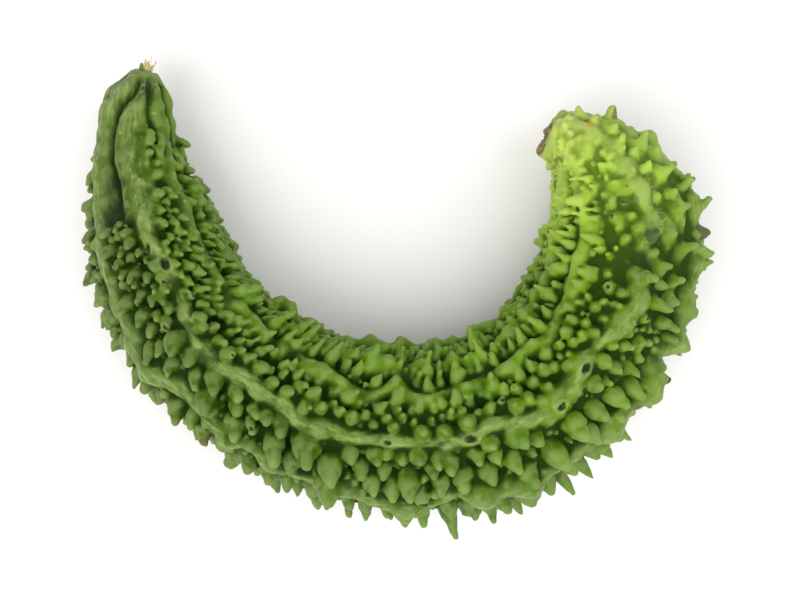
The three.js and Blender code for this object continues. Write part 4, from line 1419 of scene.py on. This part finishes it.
def paintRind(mesh):
    rind, form = Surface("gourdRind"), rindForm
    along, outside, swell, pit = (rind.measure(n) for n in ("along", "outside", "swell", "pit"))
    mapped, times, plus = rind.mapped, rind.times, rind.plus
    speckle = rind.noise(form["speckles"], 4.0)
    rind.colour = rind.ramp(along, form["flesh"])

    # broad differences round and along the fruit; the brighter inner side is partly the skin's own
    # colour and partly painted bounce light from the floor
    innerSideAndBounce = mapped(outside, 0.3, -0.9)
    rind.layer(*form["innerSideAndBounce"], times(innerSideAndBounce, mapped(along, 0.80, 0.68)))
    rind.layer(*form["innerEndAndBounce"], times(innerSideAndBounce, mapped(along, 0.74, 0.92)))
    upperArm = times(mapped(along, 0.72, 0.80), mapped(along, 0.90, 0.84))
    rind.layer(*form["upperArm"], times(upperArm, mapped(outside, -0.35, 0.15)))
    rind.layer(*form["dull"], mapped(outside, 0.35, 0.95))
    rind.layer(*form["patch"], mapped(rind.noise(form["patches"]), 0.35, 0.7))
    rind.layer(*form["tone"], mapped(rind.measure("tone"), 0.0, 1.0), "MULTIPLY")

    # wax and streaks on the ridges, with painted sheen on their crests, less on the inner side, and
    # pale flecks by the stem
    streaks = rind.noise(form["streaks"], 4.0, 0.6, rind.measure("flow", "Vector"))
    ridge = times(mapped(rind.measure("ridge"), 0.1, 0.9), mapped(outside, -0.5, -0.2, 0.12, 1.0))
    waxAndSheenMask = times(ridge, mapped(rind.noise(form["waxAndSheenScale"]), 0.3, 0.65))
    rind.layer(*form["waxAndSheen"], waxAndSheenMask)
    rind.layer(*form["streakAndSheen"], times(ridge, mapped(streaks, 0.42, 0.72)))
    flecks = mapped(rind.noise(form["flecks"], 2.0), 0.66, 0.74)
    rind.layer(*form["fleck"], times(flecks, mapped(along, 0.3, 0.12)))

    # painted highlight where the skin stands proud, painted shade down the slopes and in the
    # crevices
    # painted highlight on the proud edges, over the skin's real bloom
    rind.layer(*form["bloomAndHighlight"], mapped(rind.measure("edge"), 0.15, 1.1))
    towardsBlossom = mapped(along, 0.8, 0.97, 1.0, 0.6)
    # painted shade: the slopes are multiplied darker
    rind.layer(*form["slope"], times(mapped(swell, 0.55, -0.3), towardsBlossom), "MULTIPLY")
    creviceShade = times(mapped(swell, 0.0, -0.8), towardsBlossom)
    rind.layer(*form["creviceShade"], creviceShade)
    paleWarts = mapped(rind.measure("tone"), 0.4, 0.6)
    # pale tips on some warts, partly painted highlight on them
    rind.layer(*form["tipPaleAndHighlight"], times(mapped(rind.measure("tip"), 0.35, 1.0), paleWarts))

    # pits, with a grey edge and a pale rim
    rind.layer(*form["rim"], rind.measure("rim"))
    rind.layer(*form["pitGrey"], mapped(plus(pit, times(speckle, 0.5)), 0.85, 1.05))
    rind.layer(*form["pit"], mapped(plus(pit, rind.noise(form["pitGrain"], 5.0)), 1.25, 1.45))

    # painted shade near the stem, and the dry marks, all ragged at their edges
    rind.layer(*form["shade"], times(rind.measure("shade"), mapped(streaks, 0.75, 0.4)))
    ragged = times(mapped(speckle, 0.42, 0.58), 0.8)
    for kind in ("grey", "brown", "orange"):
        mark = rind.measure(kind)
        rind.layer(*form[kind], mapped(times(plus(mark, ragged), mark), 0.3, 0.9))

    # the papery patch and the flower scar, both veined
    veins = rind.add("ShaderNodeTexVoronoi", Vector=rind.place(), Scale=form["veinScale"])
    veins.feature = "DISTANCE_TO_EDGE"
    veinLine = mapped(veins.outputs["Distance"], 0.10, 0.02)
    paper = times(rind.measure("membrane"), mapped(veinLine, 0, 1, 0.2, 1.0))
    rind.layer(*form["membrane"], paper)
    scar = mapped(along, 0.9965, 0.999)
    rind.layer(*form["scar"], scar)
    rind.layer(*form["scarDark"], times(scar, veinLine))

    # duller on the wax, down the slopes, in the crevices and in the pits
    rough = rind.combined("MAXIMUM", mapped(waxAndSheenMask, 0, 1, *form["roughness"]),
                     mapped(swell, 0.3, -0.5, 0.0, 0.5))
    rough = plus(rough, mapped(creviceShade, 0, 0.5, 0, 0.4))
    rough = plus(rough, mapped(pit, 0.3, 0.7, 0, 0.35))
    rind.finish(mesh, rind.colour, rough, form["bump"], form["shader"])


paintRind(fruit.data)
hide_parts("fruit")
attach(fruit, "root")
print("rind painted")


# ---- the torn stub of the stalk: dry fibres and a green shred of its peel

stubForm = {
    "seed": 5,
    "fibres": 13,
    "ring": 1.05,
    "rootDepth": 1.6,
    "lengths": (1.6, 4.2),
    "thickness": (0.28, 0.5),
    "splay": 0.28,
    "sides": 8,
    "rings": 7,
    "spread": 2.399963,  # turn from one fibre to the next
    "bend": 0.16,
    "taper": 0.55,
    "uneven": (0.85, 1.12),
    # two more strands: place, length, thickness, how green, splay
    "shred": ((1.5, 0.5), 2.4, 0.9, 1.0, 0.5),
    "hair": ((-0.4, 0.5), 5.2, 0.12, 0.0, 0.1),
    "straw": [(0.42, 0.34, 0.13), (0.62, 0.55, 0.28)],
    "foot": (0.16, 0.20, 0.05),
    "fresh": (0.10, 0.20, 0.03),
    "grain": (1400, 0.35, 0.65),
    "bump": {"strength": 0.5, "distance": 0.0003, "grain": (1400, 0.35, 0.65)},
    "roughness": 0.75,
}


def fibre(points, faces, foot, direction, bend, length, thickness, rng):
    # one tapered strand, a little crooked, closed at both ends
    sides, rings = stubForm["sides"], stubForm["rings"]
    start = len(points)
    across = direction.cross(Vector((0, 0, 1))).normalized()
    other = direction.cross(across)
    for ring in range(rings):
        t = ring / (rings - 1)
        middle = foot + direction * length * t + bend * t * t
        size = thickness * (1 - stubForm["taper"] * t ** 2) * rng.uniform(*stubForm["uneven"])
        for side in range(sides):
            turn = side / sides * 2 * math.pi
            points.append((middle + (across * math.cos(turn) + other * math.sin(turn)) * size)[:])
    for ring in range(rings - 1):
        for side in range(sides):
            a, b = start + ring * sides + side, start + ring * sides + (side + 1) % sides
            faces.append((a, b, b + sides, a + sides))
    faces.append(tuple(start + side for side in reversed(range(sides))))
    faces.append(tuple(start + (rings - 1) * sides + side for side in range(sides)))


def addStub():
    rng = np.random.default_rng(stubForm["seed"])
    point, tangent, outwards, upwards = (Vector(v) for v in middleLine.at(0.0))
    points, faces, fresh = [], [], []

    def strand(aside, length, thickness, green, splay=stubForm["splay"]):
        foot = point + outwards * aside[0] + upwards * aside[1] + tangent * stubForm["rootDepth"]
        spread = outwards * aside[0] + upwards * aside[1]
        sideways = spread * splay * rng.uniform(0.2, 1) / max(spread.length, 0.5)
        direction = (-tangent + sideways).normalized()
        bend = outwards * rng.uniform(-1, 1) + upwards * rng.uniform(-1, 1)
        bend *= length * stubForm["bend"]
        fibre(points, faces, foot, direction, bend, length + stubForm["rootDepth"], thickness, rng)
        fresh.extend([green] * (len(points) - len(fresh)))

    for k in range(stubForm["fibres"]):
        turn = k * stubForm["spread"]
        out = stubForm["ring"] * math.sqrt((k + 0.5) / stubForm["fibres"])
        strand((out * math.cos(turn), out * math.sin(turn)), rng.uniform(*stubForm["lengths"]),
               rng.uniform(*stubForm["thickness"]), 0.0)
    strand(*stubForm["shred"])
    strand(*stubForm["hair"])
    mesh = bpy.data.meshes.new("stalkStub")
    mesh.from_pydata([tuple(c * mm for c in p) for p in points], [], faces)
    mesh.update()
    mesh.shade_smooth()
    setValues(mesh, "fresh", np.array(fresh))
    setValues(mesh, "wayOut", np.array([(point - Vector(p)).dot(tangent) / 4 for p in points]))
    stub = bpy.data.objects.new("stalkStub", mesh)
    bpy.context.scene.collection.objects.link(stub)
    straw = Surface("dryFibre")
    colour = straw.mixed(straw.grain("Mask", *stubForm["grain"]), *stubForm["straw"])
    colour = straw.mixed(straw.mapped(straw.measure("wayOut"), 0.25, -0.1), colour,
                         stubForm["foot"])
    colour = straw.mixed(straw.measure("fresh"), colour, stubForm["fresh"])
    straw.finish(mesh, colour, stubForm["roughness"], stubForm["bump"])
    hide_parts("stalk_stub")
    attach(stub, "root")


addStub()
print("stub added")


# ---- the floor, the light and the camera

stageForm = {
    "floorSide": 3.0,
    "floorColour": (0.757, 0.752, 0.752),
    "floorRoughness": 0.7,
    "floorBump": {"strength": 0.1, "distance": 0.0001, "grain": (300, 0.3, 0.7)},
    # place, power, colour
    "lights": {"mainLight": ((-0.34, -0.40, 0.75), 6, (1.0, 0.985, 0.96)),
               "sideLight": ((0.55, -0.05, 0.8), 3.2, (1.0, 1.0, 1.0))},
    "lightBreadth": 0.9,
    "lightAim": (0, 0, 0.02),
    "room": (1.0, 0.99, 0.98),
    "roomPower": 0.95,
    "lensPlace": (0.002, 0, 0.330),
    "lens": 45.9,
}


def addFloor():
    side = stageForm["floorSide"]
    mesh = bpy.data.meshes.new("floorSheet")
    corners = [(-side, -side, 0), (side, -side, 0), (side, side, 0), (-side, side, 0)]
    mesh.from_pydata(corners, [], [(0, 1, 2, 3)])
    floor = bpy.data.objects.new("floorSheet", mesh)
    bpy.context.scene.collection.objects.link(floor)
    Surface("palePaper").finish(mesh, stageForm["floorColour"], stageForm["floorRoughness"],
                                stageForm["floorBump"])


def addLight(name, place, power, colour):
    lamp = bpy.data.lights.new(name, "AREA")
    lamp.shape = "DISK"
    lamp.size = stageForm["lightBreadth"]
    lamp.energy = power
    lamp.color = colour
    holder = bpy.data.objects.new(name, lamp)
    holder.location = place
    towards = Vector(stageForm["lightAim"]) - Vector(place)
    holder.rotation_euler = towards.to_track_quat("-Z", "Y").to_euler()
    bpy.context.scene.collection.objects.link(holder)


def addRoom():
    # soft light from all round
    world = bpy.data.worlds.new("softRoom")
    world.use_nodes = True
    background = world.node_tree.nodes["Background"]
    background.inputs["Color"].default_value = (*stageForm["room"], 1)
    background.inputs["Strength"].default_value = stageForm["roomPower"]
    bpy.context.scene.world = world
    bpy.context.scene.view_settings.view_transform = "Standard"


addFloor()
for name, settings in stageForm["lights"].items():
    addLight(name, *settings)
addRoom()
print("floor and lights added")

lens = bpy.data.cameras.new("overheadCamera")
lens.lens = stageForm["lens"]
lens.sensor_width = 36
lens.sensor_fit = "HORIZONTAL"
lens.clip_start = 0.01
camera = bpy.data.objects.new("overheadCamera", lens)
camera.location = stageForm["lensPlace"]
bpy.context.scene.collection.objects.link(camera)
bpy.context.scene.camera = camera
